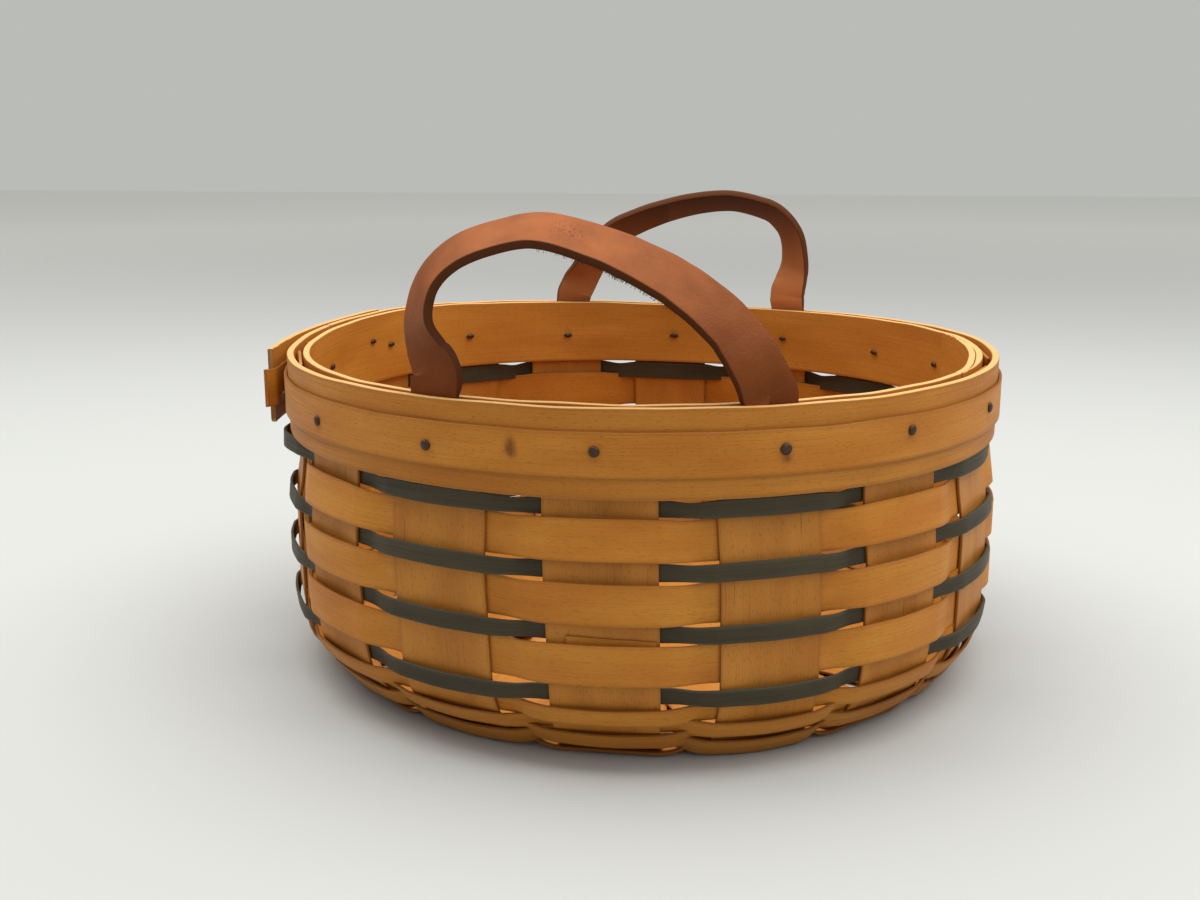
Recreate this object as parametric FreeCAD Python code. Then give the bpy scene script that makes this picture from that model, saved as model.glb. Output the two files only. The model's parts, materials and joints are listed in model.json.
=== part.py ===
import FreeCAD, Part
import math
import os
from FreeCAD import Vector

# Round splint basket with two leather strap handles.
# Lengths in millimetres, angles in degrees.
# The origin is on the basket's axis at the level it stands on, +Z is up
# and -Y is the front, below the middle of the front handle.
# Angles around the basket start at the front and grow towards +X.

# Rim
rim_diameter = 241.0
rim_height = 105.0
hoop_height = 25.0
outer_hoop_thickness = 2.3
inner_hoop_thickness = 2.2
inner_lap_start = 64.5
inner_lap_end = 109.0
band_height = 12.7
band_thickness = 1.0
band_drop = 6.2

# The outer hoop's ends meet under a splice, whose front end has sprung away
hoop_joint_angle = -97.0
hoop_joint_gap = 0.6
splice_thickness = 2.3
splice_back_angle = -115.0
splice_held_angle = -106.0
splice_front_angle = -73.5
splice_spring = 3.6
band_front_end_angle = -84.0
band_loose_end_angle = -72.0

# Splints
splint = 0.9
upright_width = 30.5
upright_spacing = 47.3
upright_top_drop = 1.5
natural_width = 12.0
green_width = 5.2
base_row_width = 5.4
wall_row_count = 7
first_row_gap = 0.4
row_gap = 0.2
low_row_gap = 0.9
wall_bulge = 1.6
base_bulge = 1.5
bend_past_edge = 0.4

# Wall and base outline of an upright, along the middle of its thickness
belly_radius = 80.0
belly_angle = 10.5
taper_radius = 40.0
taper_angle = 35.0
corner_radius = 10.0
cross_margin = 3.0
step_run = 11.0
stack_run = 17.0

# Tacks, with the places they were driven as shares of half an upright and half the band
tack_head_diameter = 3.0
tack_head_height = 0.7
tack_head_sides = 6
tack_shank = 1.2
tack_tip = 0.3
tack_point_reach = 0.8
splice_tack_angle = -107.5
splice_tack_rise = 3.4
tack_side_shares = (
    0.11, 0.37, 0.05, 0.1, 0.0, -0.1, -0.5, -0.4,
    -0.13, 0.0, 0.05, -0.1, -0.1, 0.0, -0.15, 0.0)
tack_rise_shares = (
    0.18, 0.15, 0.3, 0.2, 0.1, 0.0, -0.1, 0.1,
    0.05, 0.1, -0.05, 0.1, 0.0, -0.1, -0.13, -0.1)

# Leather straps
strap_width = 16.2
strap_thickness = 2.6
strap_end_thickness = 0.9
strap_neck_thickness = 1.9
strap_end_length = 21.0
strap_neck_height = 2.5
handle_rise = 45.0
strap_station_count = 25
swing_height = 6.2
swing_radius = 4.6
# Middle line of a strap from its left end to its right end: across as shares of half its span,
# up as shares of its rise, and how far its flat side has turned outwards as shares of a right angle
strap_across_shares = (
    -1.0, -1.0, -1.06, -1.11, -1.05, -0.88, -0.62, -0.34,
    0.02, 0.27, 0.5, 0.73, 0.91, 1.0, 1.0)
strap_up_shares = (
    0.0, 0.15, 0.28, 0.46, 0.69, 0.86, 0.96, 1.0,
    0.91, 0.81, 0.69, 0.52, 0.33, 0.15, 0.0)
strap_turn_shares = (
    0.75, 0.75, 0.58, 0.4, 0.34, 0.32, 0.31, 0.32,
    0.36, 0.4, 0.44, 0.48, 0.57, 0.75, 0.75)
handle_lean_share = 0.1

# Clearances
seat = 0.2
swing_gap = 0.3
overrun = 1.0

rim_radius = rim_diameter / 2
hoop_inside = rim_radius - outer_hoop_thickness
# Both ends of a splint lie on the same side of every weaver, so the uprights come in fours
upright_count = 4 * round(math.pi * rim_diameter / (4 * upright_spacing))
upright_pitch = 360 / upright_count
handle_half_angle = upright_pitch
half_width = upright_width / 2
half_splint = splint / 2
half_strap = strap_width / 2
hoop_bottom = rim_height - hoop_height
band_inside = rim_radius + seat
band_outside = band_inside + band_thickness
tack_height = rim_height - band_drop - band_height / 2
level_step = splint + seat
base_level = half_splint + level_step

# A flat strap end lies on the curved hoop with its corners, and the upright lies behind it
strap_face = math.sqrt((hoop_inside - seat) ** 2 - half_strap ** 2)
upright_behind_strap = strap_face - strap_end_thickness - seat - half_splint
upright_in_hoop = math.sqrt((hoop_inside - seat) ** 2 - half_width ** 2) - half_splint
upright_radius = min(upright_behind_strap, upright_in_hoop)
inner_hoop_outside = upright_radius - half_splint - seat
inner_hoop_inside = inner_hoop_outside - inner_hoop_thickness
inner_lap_inside = inner_hoop_inside - inner_hoop_thickness

os.makedirs("parts", exist_ok=True)


def save(name, shape):
    shape.exportStep("parts/" + name + ".step")


def place(angle, out, along=0.0, height=0.0):
    # Point at a distance out from the axis, and along the tangent there
    turn = math.radians(angle)
    x = out * math.sin(turn) + along * math.cos(turn)
    y = -out * math.cos(turn) + along * math.sin(turn)
    return Vector(x, y, height)


def turned(shape, angle):
    # Turns a shape made along +X to an angle around the basket
    shape = shape.copy()
    shape.rotate(Vector(), Vector(0, 0, 1), angle - 90)
    return shape


def line(first, second):
    return Part.makeLine(first, second)


def arc(first, middle, last):
    return Part.Arc(first, middle, last).toShape()


def rectangle(corner, side, rise):
    corners = [corner, corner + side, corner + side + rise, corner + rise]
    return Part.makePolygon(corners + corners[:1])


def faces_between(first, second):
    # Faces from one edge to another: flat, ruled between arcs, or two triangles between crossed lines
    face = Part.makeRuledSurface(first, second)
    if face.findPlane():
        return [Part.Face(Part.Wire(Part.__sortEdges__(face.Edges)))]
    if not isinstance(first.Curve, Part.Line):
        return [face]
    near, far = [edge.valueAt(edge.FirstParameter) for edge in (first, second)]
    near_end, far_end = [edge.valueAt(edge.LastParameter) for edge in (first, second)]
    return [flat([near, near_end, far_end]), flat([near, far_end, far])]


def flat(corners):
    return Part.Face(Part.makePolygon(corners + corners[:1]))


def solid_between(curves, caps=()):
    # Closed solid between lists of edges along it, each joined to the next and the last to the first
    faces = list(caps)
    for first_curve, second_curve in zip(curves, curves[1:] + curves[:1]):
        for first, second in zip(first_curve, second_curve):
            faces.extend(faces_between(first, second))
    shell = Part.makeShell(faces)
    shell.sewShape()
    solid = Part.makeSolid(shell)
    if solid.Volume < 0:
        solid.reverse()
    return solid


def curved_strip(inside, outside, first_angle, last_angle, bottom, height):
    # Upright strip whose inner and outer faces are arcs, inside and outside give the radius at an angle
    middle_angle = (first_angle + last_angle) / 2
    inner = [place(a, inside(a)) for a in (first_angle, middle_angle, last_angle)]
    outer = [place(a, outside(a)) for a in (first_angle, middle_angle, last_angle)]
    edges = [arc(*inner), line(inner[2], outer[2]), arc(*outer), line(outer[0], inner[0])]
    face = Part.Face(Part.Wire(Part.__sortEdges__(edges)))
    strip = face.extrude(Vector(0, 0, height))
    strip.translate(Vector(0, 0, bottom))
    return strip


def ring_sector(inside, outside, first_angle, last_angle, bottom, height):
    # Part of a round hoop between two angles
    outline = rectangle(Vector(inside, 0, bottom), Vector(outside - inside, 0, 0), Vector(0, 0, height))
    sector = Part.Face(outline).revolve(Vector(), Vector(0, 0, 1), last_angle - first_angle)
    return turned(sector, first_angle)


def ring(inside, outside, bottom, height):
    hoop = Part.makeCylinder(outside, height, Vector(0, 0, bottom))
    return hoop.cut(Part.makeCylinder(inside, height, Vector(0, 0, bottom)))


# Wall outline from the rim down, as runs of a length and a turn over it
belly_length = math.radians(belly_angle) * belly_radius
taper_length = math.radians(taper_angle) * taper_radius
corner_angle = 90 - taper_angle
corner_length = math.radians(corner_angle) * corner_radius
belly_bottom = hoop_bottom - 2 * belly_radius * math.sin(math.radians(belly_angle))
corner_top = base_level + corner_radius * (1 - math.sin(math.radians(taper_angle)))
taper_top = corner_top + taper_radius * math.sin(math.radians(taper_angle))
wall_runs = (
    (hoop_height, 0),
    (belly_length, belly_angle),
    (belly_length, -belly_angle),
    (belly_bottom - taper_top, 0),
    (taper_length, -taper_angle),
    (corner_length, -corner_angle),
)


def wall_at(depth):
    # Distance from the axis, height and direction of the outline at a depth along it
    out, height, heading = upright_radius, rim_height, math.radians(-90)
    for length, turn in wall_runs:
        run = min(depth, length)
        if turn:
            curve = math.radians(turn) / length
            after = heading + curve * run
            out += (math.sin(after) - math.sin(heading)) / curve
            height -= (math.cos(after) - math.cos(heading)) / curve
            heading = after
        else:
            out += run * math.cos(heading)
            height += run * math.sin(heading)
        depth -= run
        if depth <= 0:
            break
    return out, height, heading


def beside_wall(depth, offset):
    # Point at an offset outwards from the outline
    out, height, heading = wall_at(depth)
    return Vector(out - offset * math.sin(heading), 0, height + offset * math.cos(heading))


# Uprights: each splint crosses under the base and is bent up at both ends
def cross_reach(angle):
    # How far from the axis two splints that cross at an angle still overlap
    return half_width / math.tan(math.radians(angle / 2))


low_stack_in = cross_reach(2 * upright_pitch) + cross_margin
low_stack_out = low_stack_in + stack_run
high_stack_in = low_stack_in + cross_margin
high_stack_out = high_stack_in + stack_run
step_in = cross_reach(upright_pitch) + cross_margin
step_out = step_in + step_run


def base_steps(level, upper):
    # Where a splint rises towards its level in the stack at the middle of the base
    if upper:
        return ((step_out, 0), (step_in, 1), (high_stack_out, 1), (high_stack_in, level))
    return ((low_stack_out, 0), (low_stack_in, level))


def strip_face_edges(offset, steps):
    edges = []
    depth = upright_top_drop
    end = 0.0
    for length, turn in wall_runs:
        end += length
        first = beside_wall(depth, offset)
        last = beside_wall(end, offset)
        if turn:
            edges.append(arc(first, beside_wall((depth + end) / 2, offset), last))
        else:
            edges.append(line(first, last))
        depth = end
    for out, level in steps:
        point = Vector(out, 0, base_level + level * level_step - offset)
        edges.append(line(last, point))
        last = point
    mirrored = [edge.mirror(Vector(), Vector(1, 0, 0)) for edge in edges]
    return edges + mirrored + [line(last, Vector(-last.x, 0, last.z))]


def upright_strip(angle, level, upper):
    steps = base_steps(level, upper)
    edges = strip_face_edges(half_splint, steps) + strip_face_edges(-half_splint, steps)
    first = beside_wall(upright_top_drop, half_splint)
    second = beside_wall(upright_top_drop, -half_splint)
    for side in (1, -1):
        edges.append(line(Vector(side * first.x, 0, first.z), Vector(side * second.x, 0, second.z)))
    face = Part.Face(Part.Wire(Part.__sortEdges__(edges)))
    face.translate(Vector(0, -half_width, 0))
    return turned(face.extrude(Vector(0, upright_width, 0)), angle)


# Weavers: closed rows that pass outside every second upright and behind the others
def row_curve(depth, edge_shift, layer_offset, first_outside, bulge):
    # One edge of a row's section, followed around the basket
    out, height, heading = wall_at(depth)
    outward = Vector(-math.sin(heading), 0, math.cos(heading))
    downward = Vector(math.cos(heading), 0, math.sin(heading))
    ends = [beside_wall(depth + side * edge_shift, 0) - Vector(out, 0, height) for side in (1, -1)]
    bows = [end.dot(outward) for end in ends]
    reach = half_width + bend_past_edge
    groups = []
    for index in range(upright_count):
        outside = (index % 2 == 0) == first_outside
        lie = half_splint + seat + half_splint
        if outside:
            offset = lie + max(0, *bows)
        else:
            offset = -lie + min(0, *bows)
        points = []
        for along, lift in ((-reach, 0), (0, bulge if outside else 0), (reach, 0)):
            spot = outward * (offset + layer_offset + lift) + downward * edge_shift
            points.append(place(index * upright_pitch, out + spot.x, along, height + spot.z))
        groups.append(points)
    edges = []
    for index, points in enumerate(groups):
        outside = (index % 2 == 0) == first_outside
        edges.append(arc(*points) if outside and bulge else line(points[0], points[2]))
        following = groups[(index + 1) % upright_count]
        edges.append(line(points[2], following[0]))
    return edges


def weaver(depth, width, first_outside, bulge):
    half = width / 2
    corners = ((-half, half_splint), (half, half_splint), (half, -half_splint), (-half, -half_splint))
    return solid_between([row_curve(depth, shift, layer, first_outside, bulge) for shift, layer in corners])


# Tacks through the rim
def tack_spot(index):
    # Angle and height of the tack in an upright
    side = tack_side_shares[index % len(tack_side_shares)] * half_width / rim_radius
    rise = tack_rise_shares[index % len(tack_rise_shares)] * band_height / 2
    return index * upright_pitch + math.degrees(side), tack_height + rise


def tack(angle, height, seat_radius):
    head_corners = []
    for index in range(tack_head_sides + 1):
        turn = 2 * math.pi * index / tack_head_sides
        side = Vector(0, math.cos(turn), math.sin(turn)) * (tack_head_diameter / 2)
        head_corners.append(Vector(seat_radius, 0, 0) + side)
    head = Part.Face(Part.makePolygon(head_corners)).extrude(Vector(tack_head_height, 0, 0))
    sections = []
    for out, side in ((seat_radius, tack_shank), (inner_hoop_inside - tack_point_reach, tack_tip)):
        sections.append(rectangle(Vector(out, -side / 2, -side / 2), Vector(0, side, 0), Vector(0, 0, side)))
    solid = turned(head.fuse(Part.makeLoft(sections, True, True)), angle)
    solid.translate(Vector(0, 0, height))
    return solid


# Leather strap handles
strap_root = strap_face - strap_thickness / 2
swing_y = -strap_root * math.cos(math.radians(handle_half_angle))
swing_x = strap_root * math.sin(math.radians(handle_half_angle))
swing_z = rim_height + swing_height


def strap_path():
    # Middle line of a strap above the rim
    points = []
    for across, up in zip(strap_across_shares, strap_up_shares):
        height = up * handle_rise
        lean = max(0, height - swing_height) * handle_lean_share
        points.append(Vector(across * swing_x, swing_y + lean, rim_height + height))
    curve = Part.BSplineCurve()
    curve.interpolate(points)
    return curve


def strap_turn(share):
    # Turn of the flat side at a share of the way along the table
    place_in_table = share * (len(strap_turn_shares) - 1)
    first = min(int(place_in_table), len(strap_turn_shares) - 2)
    rest = place_in_table - first
    return math.radians(90 * (strap_turn_shares[first] * (1 - rest) + strap_turn_shares[first + 1] * rest))


def strap_sections():
    # Corners of flat rectangles across the strap, from its left end to its right end
    path = strap_path()
    spread = path.getKnots()
    sections = []
    for index in range(strap_station_count):
        share = index / (strap_station_count - 1)
        knot_place = share * (len(spread) - 1)
        knot = min(int(knot_place), len(spread) - 2)
        parameter = spread[knot] + (spread[knot + 1] - spread[knot]) * (knot_place - knot)
        point = path.value(parameter)
        tangent = path.tangent(parameter)[0]
        arch_side = Vector(-tangent.z, 0, tangent.x).normalize()
        turn = strap_turn(share)
        normal = arch_side * math.cos(turn) + Vector(0, -1, 0) * math.sin(turn)
        width = tangent.cross(normal).normalize() * half_strap
        thick = width.cross(tangent).normalize() * (strap_thickness / 2)
        corners = (width + thick, thick - width, -width - thick, width - thick)
        sections.append([point + corner for corner in corners])
    return sections


def swing_barrel(radius):
    length = rim_diameter
    return Part.makeCylinder(radius, length, Vector(-length / 2, swing_y, swing_z), Vector(1, 0, 0))


def below_swing():
    # Everything under the swing axis
    side = rim_diameter
    return Part.makeBox(side, side, side, Vector(-side / 2, swing_y - side / 2, swing_z - side))


def strap_loop():
    sections = strap_sections()
    curves = []
    for corner in range(len(sections[0])):
        points = [section[corner] for section in sections]
        curves.append([line(first, second) for first, second in zip(points, points[1:])])
    loop = solid_between(curves, (flat(sections[0]), flat(sections[-1])))
    return loop.cut(below_swing().cut(swing_barrel(swing_radius)))


def strap_end(angle):
    # Pared end that hangs between the outer hoop and an upright
    upright_top = rim_height - upright_top_drop
    outline = [
        Vector(strap_face, 0, swing_z),
        Vector(strap_face, 0, rim_height - strap_end_length),
        Vector(strap_face - strap_end_thickness, 0, rim_height - strap_end_length),
        Vector(strap_face - strap_end_thickness, 0, upright_top + seat),
        Vector(strap_face - strap_neck_thickness, 0, rim_height),
        Vector(strap_face - strap_thickness, 0, rim_height + strap_neck_height),
        Vector(strap_face - strap_thickness, 0, swing_z),
    ]
    face = Part.Face(Part.makePolygon(outline + outline[:1]))
    face.translate(Vector(0, -half_strap, 0))
    end = turned(face.extrude(Vector(0, strap_width, 0)), angle)
    return end.cut(swing_barrel(swing_radius + swing_gap))


def half_turned(shape):
    shape = shape.copy()
    shape.rotate(Vector(), Vector(0, 0, 1), 180)
    return shape


# Radius of the splice's inner face, which springs away in front of its last tack
def splice_inside(angle):
    lift = max(0, angle - splice_held_angle) / (splice_front_angle - splice_held_angle)
    return band_outside + seat + splice_spring * lift ** 2


def splice_outside(angle):
    return splice_inside(angle) + splice_thickness


def loose_band_outside(angle):
    return splice_inside(angle) - seat


def loose_band_inside(angle):
    return loose_band_outside(angle) - band_thickness


# Tacks, driven through every layer of the rim
tack_shapes = []
for index in range(upright_count):
    angle, height = tack_spot(index)
    wrapped = (angle + 180) % 360 - 180
    seat_radius = band_outside
    if splice_back_angle < wrapped < splice_held_angle:
        seat_radius = splice_outside(wrapped)
    elif splice_held_angle < wrapped < band_front_end_angle:
        seat_radius = rim_radius
    tack_shapes.append(tack(angle, height, seat_radius))
tack_shapes.append(tack(splice_tack_angle, tack_height + splice_tack_rise, splice_outside(splice_tack_angle)))
save("rim_tacks", Part.makeCompound(tack_shapes))

# Hoops
joint = Part.makeBox(
    outer_hoop_thickness + 2 * overrun, hoop_joint_gap, hoop_height + 2 * overrun,
    Vector(hoop_inside - overrun, -hoop_joint_gap / 2, hoop_bottom - overrun))
outer_hoop = ring(hoop_inside, rim_radius, hoop_bottom, hoop_height)
save("outer_hoop", outer_hoop.cut(turned(joint, hoop_joint_angle)))
inner_hoop = ring(inner_hoop_inside, inner_hoop_outside, hoop_bottom, hoop_height)
inner_lap = ring_sector(
    inner_lap_inside, inner_hoop_inside + inner_hoop_thickness / 2,
    inner_lap_start, inner_lap_end, hoop_bottom, hoop_height)
save("inner_hoop", inner_hoop.fuse(inner_lap).removeSplitter())

# Tack band, with its loose end along the splice
band_bottom = rim_height - band_drop - band_height
band = ring_sector(
    band_inside, band_outside, band_front_end_angle, 360 + splice_held_angle, band_bottom, band_height)
loose_band = curved_strip(
    loose_band_inside, loose_band_outside, splice_held_angle, band_loose_end_angle, band_bottom, band_height)
save("tack_band", band.fuse(loose_band))
splice_held = curved_strip(
    splice_inside, splice_outside, splice_back_angle, splice_held_angle, hoop_bottom, hoop_height)
splice_loose = curved_strip(
    splice_inside, splice_outside, splice_held_angle, splice_front_angle, hoop_bottom, hoop_height)
save("hoop_splice", splice_held.fuse(splice_loose))

# Upright splints, the even ones below the odd ones where they cross
strip_count = upright_count // 2
for index in range(strip_count):
    upper = index % 2 == 1
    level = index // 2 + (strip_count // 2 if upper else 0)
    save("upright_splint_%d" % (index + 1), upright_strip(index * upright_pitch, level, upper))

# Weavers from the rim down, narrow green ones between wide natural ones, then the rows around the base
depth = hoop_height + first_row_gap
for index in range(wall_row_count):
    green = index % 2 == 0
    width = green_width if green else natural_width
    if index == wall_row_count - 1:
        depth += low_row_gap
    name = "green_weaver_%d" if green else "natural_weaver_%d"
    save(name % (index // 2 + 1), weaver(depth + width / 2, width, not green, wall_bulge))
    depth += width + row_gap
base_row_room = sum(length for length, turn in wall_runs) - depth + base_row_width / 2
base_row_count = int(base_row_room / (base_row_width + row_gap))
base_row_pitch = base_row_room / base_row_count
for index in range(base_row_count):
    depth += base_row_pitch
    bulge = base_bulge * (base_row_count - 1 - index) / base_row_count
    middle = depth - base_row_width / 2
    save("base_weaver_%d" % (index + 1), weaver(middle, base_row_width, index % 2 == 0, bulge))

# Handles
front_loop = strap_loop()
save("front_handle_strap", front_loop)
save("rear_handle_strap", half_turned(front_loop))
front_ends = Part.makeCompound([strap_end(side * handle_half_angle) for side in (-1, 1)])
save("front_handle_ends", front_ends)
save("rear_handle_ends", half_turned(front_ends))
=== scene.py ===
import json
import math

import bmesh
import bpy
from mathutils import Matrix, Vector, noise


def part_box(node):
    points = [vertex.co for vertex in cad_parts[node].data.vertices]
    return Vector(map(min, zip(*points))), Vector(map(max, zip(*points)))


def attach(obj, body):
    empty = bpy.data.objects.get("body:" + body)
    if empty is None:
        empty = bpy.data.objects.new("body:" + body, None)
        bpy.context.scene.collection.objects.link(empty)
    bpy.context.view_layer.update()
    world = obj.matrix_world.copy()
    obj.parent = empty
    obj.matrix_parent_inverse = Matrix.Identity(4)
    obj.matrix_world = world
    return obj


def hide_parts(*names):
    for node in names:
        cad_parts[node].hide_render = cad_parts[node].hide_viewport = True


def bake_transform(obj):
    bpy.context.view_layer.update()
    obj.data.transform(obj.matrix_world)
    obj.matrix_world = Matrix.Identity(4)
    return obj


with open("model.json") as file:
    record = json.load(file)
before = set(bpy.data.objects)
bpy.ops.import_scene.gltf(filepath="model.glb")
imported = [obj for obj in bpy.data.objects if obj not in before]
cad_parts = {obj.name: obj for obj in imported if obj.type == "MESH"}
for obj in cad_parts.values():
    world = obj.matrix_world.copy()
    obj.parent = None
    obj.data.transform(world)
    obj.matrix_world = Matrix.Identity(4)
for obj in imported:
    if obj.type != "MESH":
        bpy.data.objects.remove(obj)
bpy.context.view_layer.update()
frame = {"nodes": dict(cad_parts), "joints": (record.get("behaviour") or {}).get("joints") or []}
scene = bpy.context.scene
scene.view_settings.view_transform = "Standard"

# Sizes read from the frame, in metres
hoopLow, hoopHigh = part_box("outer_hoop")
rimTop = hoopHigh.z
hoopBottom = hoopLow.z
rimRadius = hoopHigh.x
bandLow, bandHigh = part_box("tack_band")
splintLow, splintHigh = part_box("upright_splint_1")
joints = {joint["name"]: joint for joint in frame["joints"]}
print("frame loaded, rim", round(rimRadius * 2, 4), "m across")


def linear(hexColour):
    channels = [int(hexColour[i:i + 2], 16) / 255 for i in (1, 3, 5)]
    return tuple(c / 12.92 if c <= 0.04045 else ((c + 0.055) / 1.055) ** 2.4 for c in channels) + (1.0,)


def addNode(tree, kind, inputs=None, **settings):
    node = tree.nodes.new(kind)
    for name, value in settings.items():
        setattr(node, name, value)
    for socket, value in (inputs or {}).items():
        if isinstance(value, bpy.types.Node):
            value = next(output for output in value.outputs if output.enabled)
        if isinstance(value, bpy.types.NodeSocket):
            tree.links.new(value, node.inputs[socket])
        else:
            node.inputs[socket].default_value = value
    return node


def newMaterial(name):
    material = bpy.data.materials.new(name)
    material.use_nodes = True
    material.node_tree.nodes.clear()
    return material, material.node_tree


def place(angle, out, height=0.0, along=0.0):  # angles start at the front and grow towards +X
    turn = math.radians(angle)
    x = out * math.sin(turn) + along * math.cos(turn)
    y = -out * math.cos(turn) + along * math.sin(turn)
    return Vector((x, y, height))


def smooth(value, low=0.0, high=1.0):
    share = min(1.0, max(0.0, (value - low) / (high - low)))
    return share * share * (3 - 2 * share)


def through(a, b, c, d, share):  # smooth line from b to c, led by a and d
    return 0.5 * (2 * b + (c - a) * share + (2 * a - 5 * b + 4 * c - d) * share ** 2
                  + (3 * b - a - 3 * c + d) * share ** 3)


def wander(where, seed, period):  # slow random drift, about -1 to 1
    return noise.noise(Vector((where / period, seed * 7.31, seed * 1.7)))


# Camera and light
cameraSettings = {
    "place": (0.0525, -0.4631, 0.1738),
    "looking": (-0.139, 0.9644, -0.2251),
    "lens": 40.31,
    "sensor": 36.0,
}


def makeCamera(s):
    data = bpy.data.cameras.new("camera")
    data.lens = s["lens"]
    data.sensor_width = s["sensor"]
    data.clip_start = 0.01
    camera = bpy.data.objects.new("camera", data)
    camera.location = s["place"]
    camera.rotation_euler = Vector(s["looking"]).to_track_quat("-Z", "Y").to_euler()
    scene.collection.objects.link(camera)
    scene.camera = camera


stageSettings = {
    "floorColour": "#b5b6b2",
    "farColour": "#f4f4ee",   # lighter away from the lamps, so that the floor runs into the background
    "farFrom": 0.75,
    "farTo": 2.6,
    "backColour": "#babcb7",
    "halfWidth": 4.0,
    "ambient": 0.5,
    "topPower": 26.6,
    "topSize": (2.4, 0.9),
    "topSpot": (0.0, 0.12, 1.05),
    "topTarget": (0.0, 0.12, 0.0),
    "fillPower": 2.9,
    "fillSize": (0.9, 0.9),
    "fillSpot": (0.75, -0.75, 0.9),
    "fillTarget": (0.0, 0.0, 0.06),
}


def makeStage(s):
    material, tree = newMaterial("matt paper")  # plain pale paper, no gloss
    spot = addNode(tree, "ShaderNodeTexCoord")
    away = addNode(tree, "ShaderNodeVectorMath", {0: spot.outputs["Object"]}, operation="LENGTH")
    share = addNode(tree, "ShaderNodeMapRange", {0: away.outputs["Value"], 1: s["farFrom"], 2: s["farTo"]},
                    interpolation_type="SMOOTHSTEP")
    tone = addNode(tree, "ShaderNodeMix", {0: share, 6: linear(s["floorColour"]), 7: linear(s["farColour"])},
                   data_type="RGBA")
    shader = addNode(tree, "ShaderNodeBsdfPrincipled",
                     {"Base Color": tone.outputs[2], "Roughness": 0.85, "Specular IOR Level": 0.2})
    addNode(tree, "ShaderNodeOutputMaterial", {"Surface": shader})
    half = s["halfWidth"]
    corners = [(-half, -half, 0.0), (half, -half, 0.0), (half, half, 0.0), (-half, half, 0.0)]
    mesh = bpy.data.meshes.new("floor")
    mesh.from_pydata(corners, [], [(0, 1, 2, 3)])
    mesh.materials.append(material)
    floor = bpy.data.objects.new("floor", mesh)
    scene.collection.objects.link(floor)
    world = bpy.data.worlds.new("studio")
    scene.world = world
    world.use_nodes = True
    soft = world.node_tree.nodes["Background"]
    soft.inputs["Color"].default_value = (1.0, 1.0, 1.0, 1.0)
    soft.inputs["Strength"].default_value = s["ambient"]
    seen = addNode(world.node_tree, "ShaderNodeBackground", {"Color": linear(s["backColour"])})
    ray = addNode(world.node_tree, "ShaderNodeLightPath").outputs["Is Camera Ray"]
    mixed = addNode(world.node_tree, "ShaderNodeMixShader", {0: ray, 1: soft, 2: seen})
    world.node_tree.links.new(mixed.outputs[0], world.node_tree.nodes["World Output"].inputs["Surface"])
    for name in ("top", "fill"):
        data = bpy.data.lights.new(name, "AREA")
        data.shape = "RECTANGLE"
        data.energy = s[name + "Power"]
        data.size, data.size_y = s[name + "Size"]
        lamp = bpy.data.objects.new(name, data)
        lamp.location = s[name + "Spot"]
        aim = Vector(s[name + "Target"]) - lamp.location
        lamp.rotation_euler = aim.to_track_quat("-Z", "Y").to_euler()
        scene.collection.objects.link(lamp)


# Materials
mapleSettings = {
    "light": "#cb8831",
    "middle": "#ba7023",
    "dark": "#915112",
    "edge": "#935a1e",
    "cut": "#935a1e",
    # dark colour for cracks, rust and marks, and for painted shade at the splice's end
    "stainAndPaintedLight": "#3a2418",
    "streakWidth": 0.0005,   # the real lines are finer, drawn coarser so that they show
    "streakLength": 0.030,
    "streakAmount": 0.2,
    "streakRange": (0.48, 0.75),
    "crackFrom": 0.8,
    "crackRun": 0.03,
    "crackAmount": 0.6,
    "cloudWidth": 0.012,
    "cloudLength": 0.045,
    "cloudRange": (0.3, 0.7),
    "fleckWidth": 0.00028,
    "fleckLength": 0.0018,
    "fleckRange": (0.6, 0.72),
    "fleckAmount": 0.45,
    "wornAmount": 0.45,
    "roughness": 0.5,
    "bump": 0.2,
    "specular": 0.2,
}
uprightSettings = dict(
    mapleSettings, light="#c38133", middle="#b06e29", dark="#744212", streakAmount=0.14, crackFrom=0.7,
    fleckWidth=0.0004, fleckLength=0.0014, fleckAmount=0.45)
# pale cut colour: part sawn edge, part painted highlight along the hoops' lit top edges
hoopSettings = dict(
    mapleSettings, light="#bd7c2d", middle="#ad6a21", dark="#744211", edge="#86531d", cut="#d0a062",
    streakAmount=0.24)
# darker cut colour: dark cut edge, and painted shade along the band's top edge
bandSettings = dict(hoopSettings, light="#c17e2d", middle="#b16c20", cut="#8a5520", stainAndPaintedLight="#552a12")
greenSettings = dict(
    mapleSettings, light="#49412e", middle="#3a3324", dark="#272219", edge="#514a39", cut="#4c4637",
    streakAmount=0.45, fleckAmount=0.2, roughness=0.55)


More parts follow.
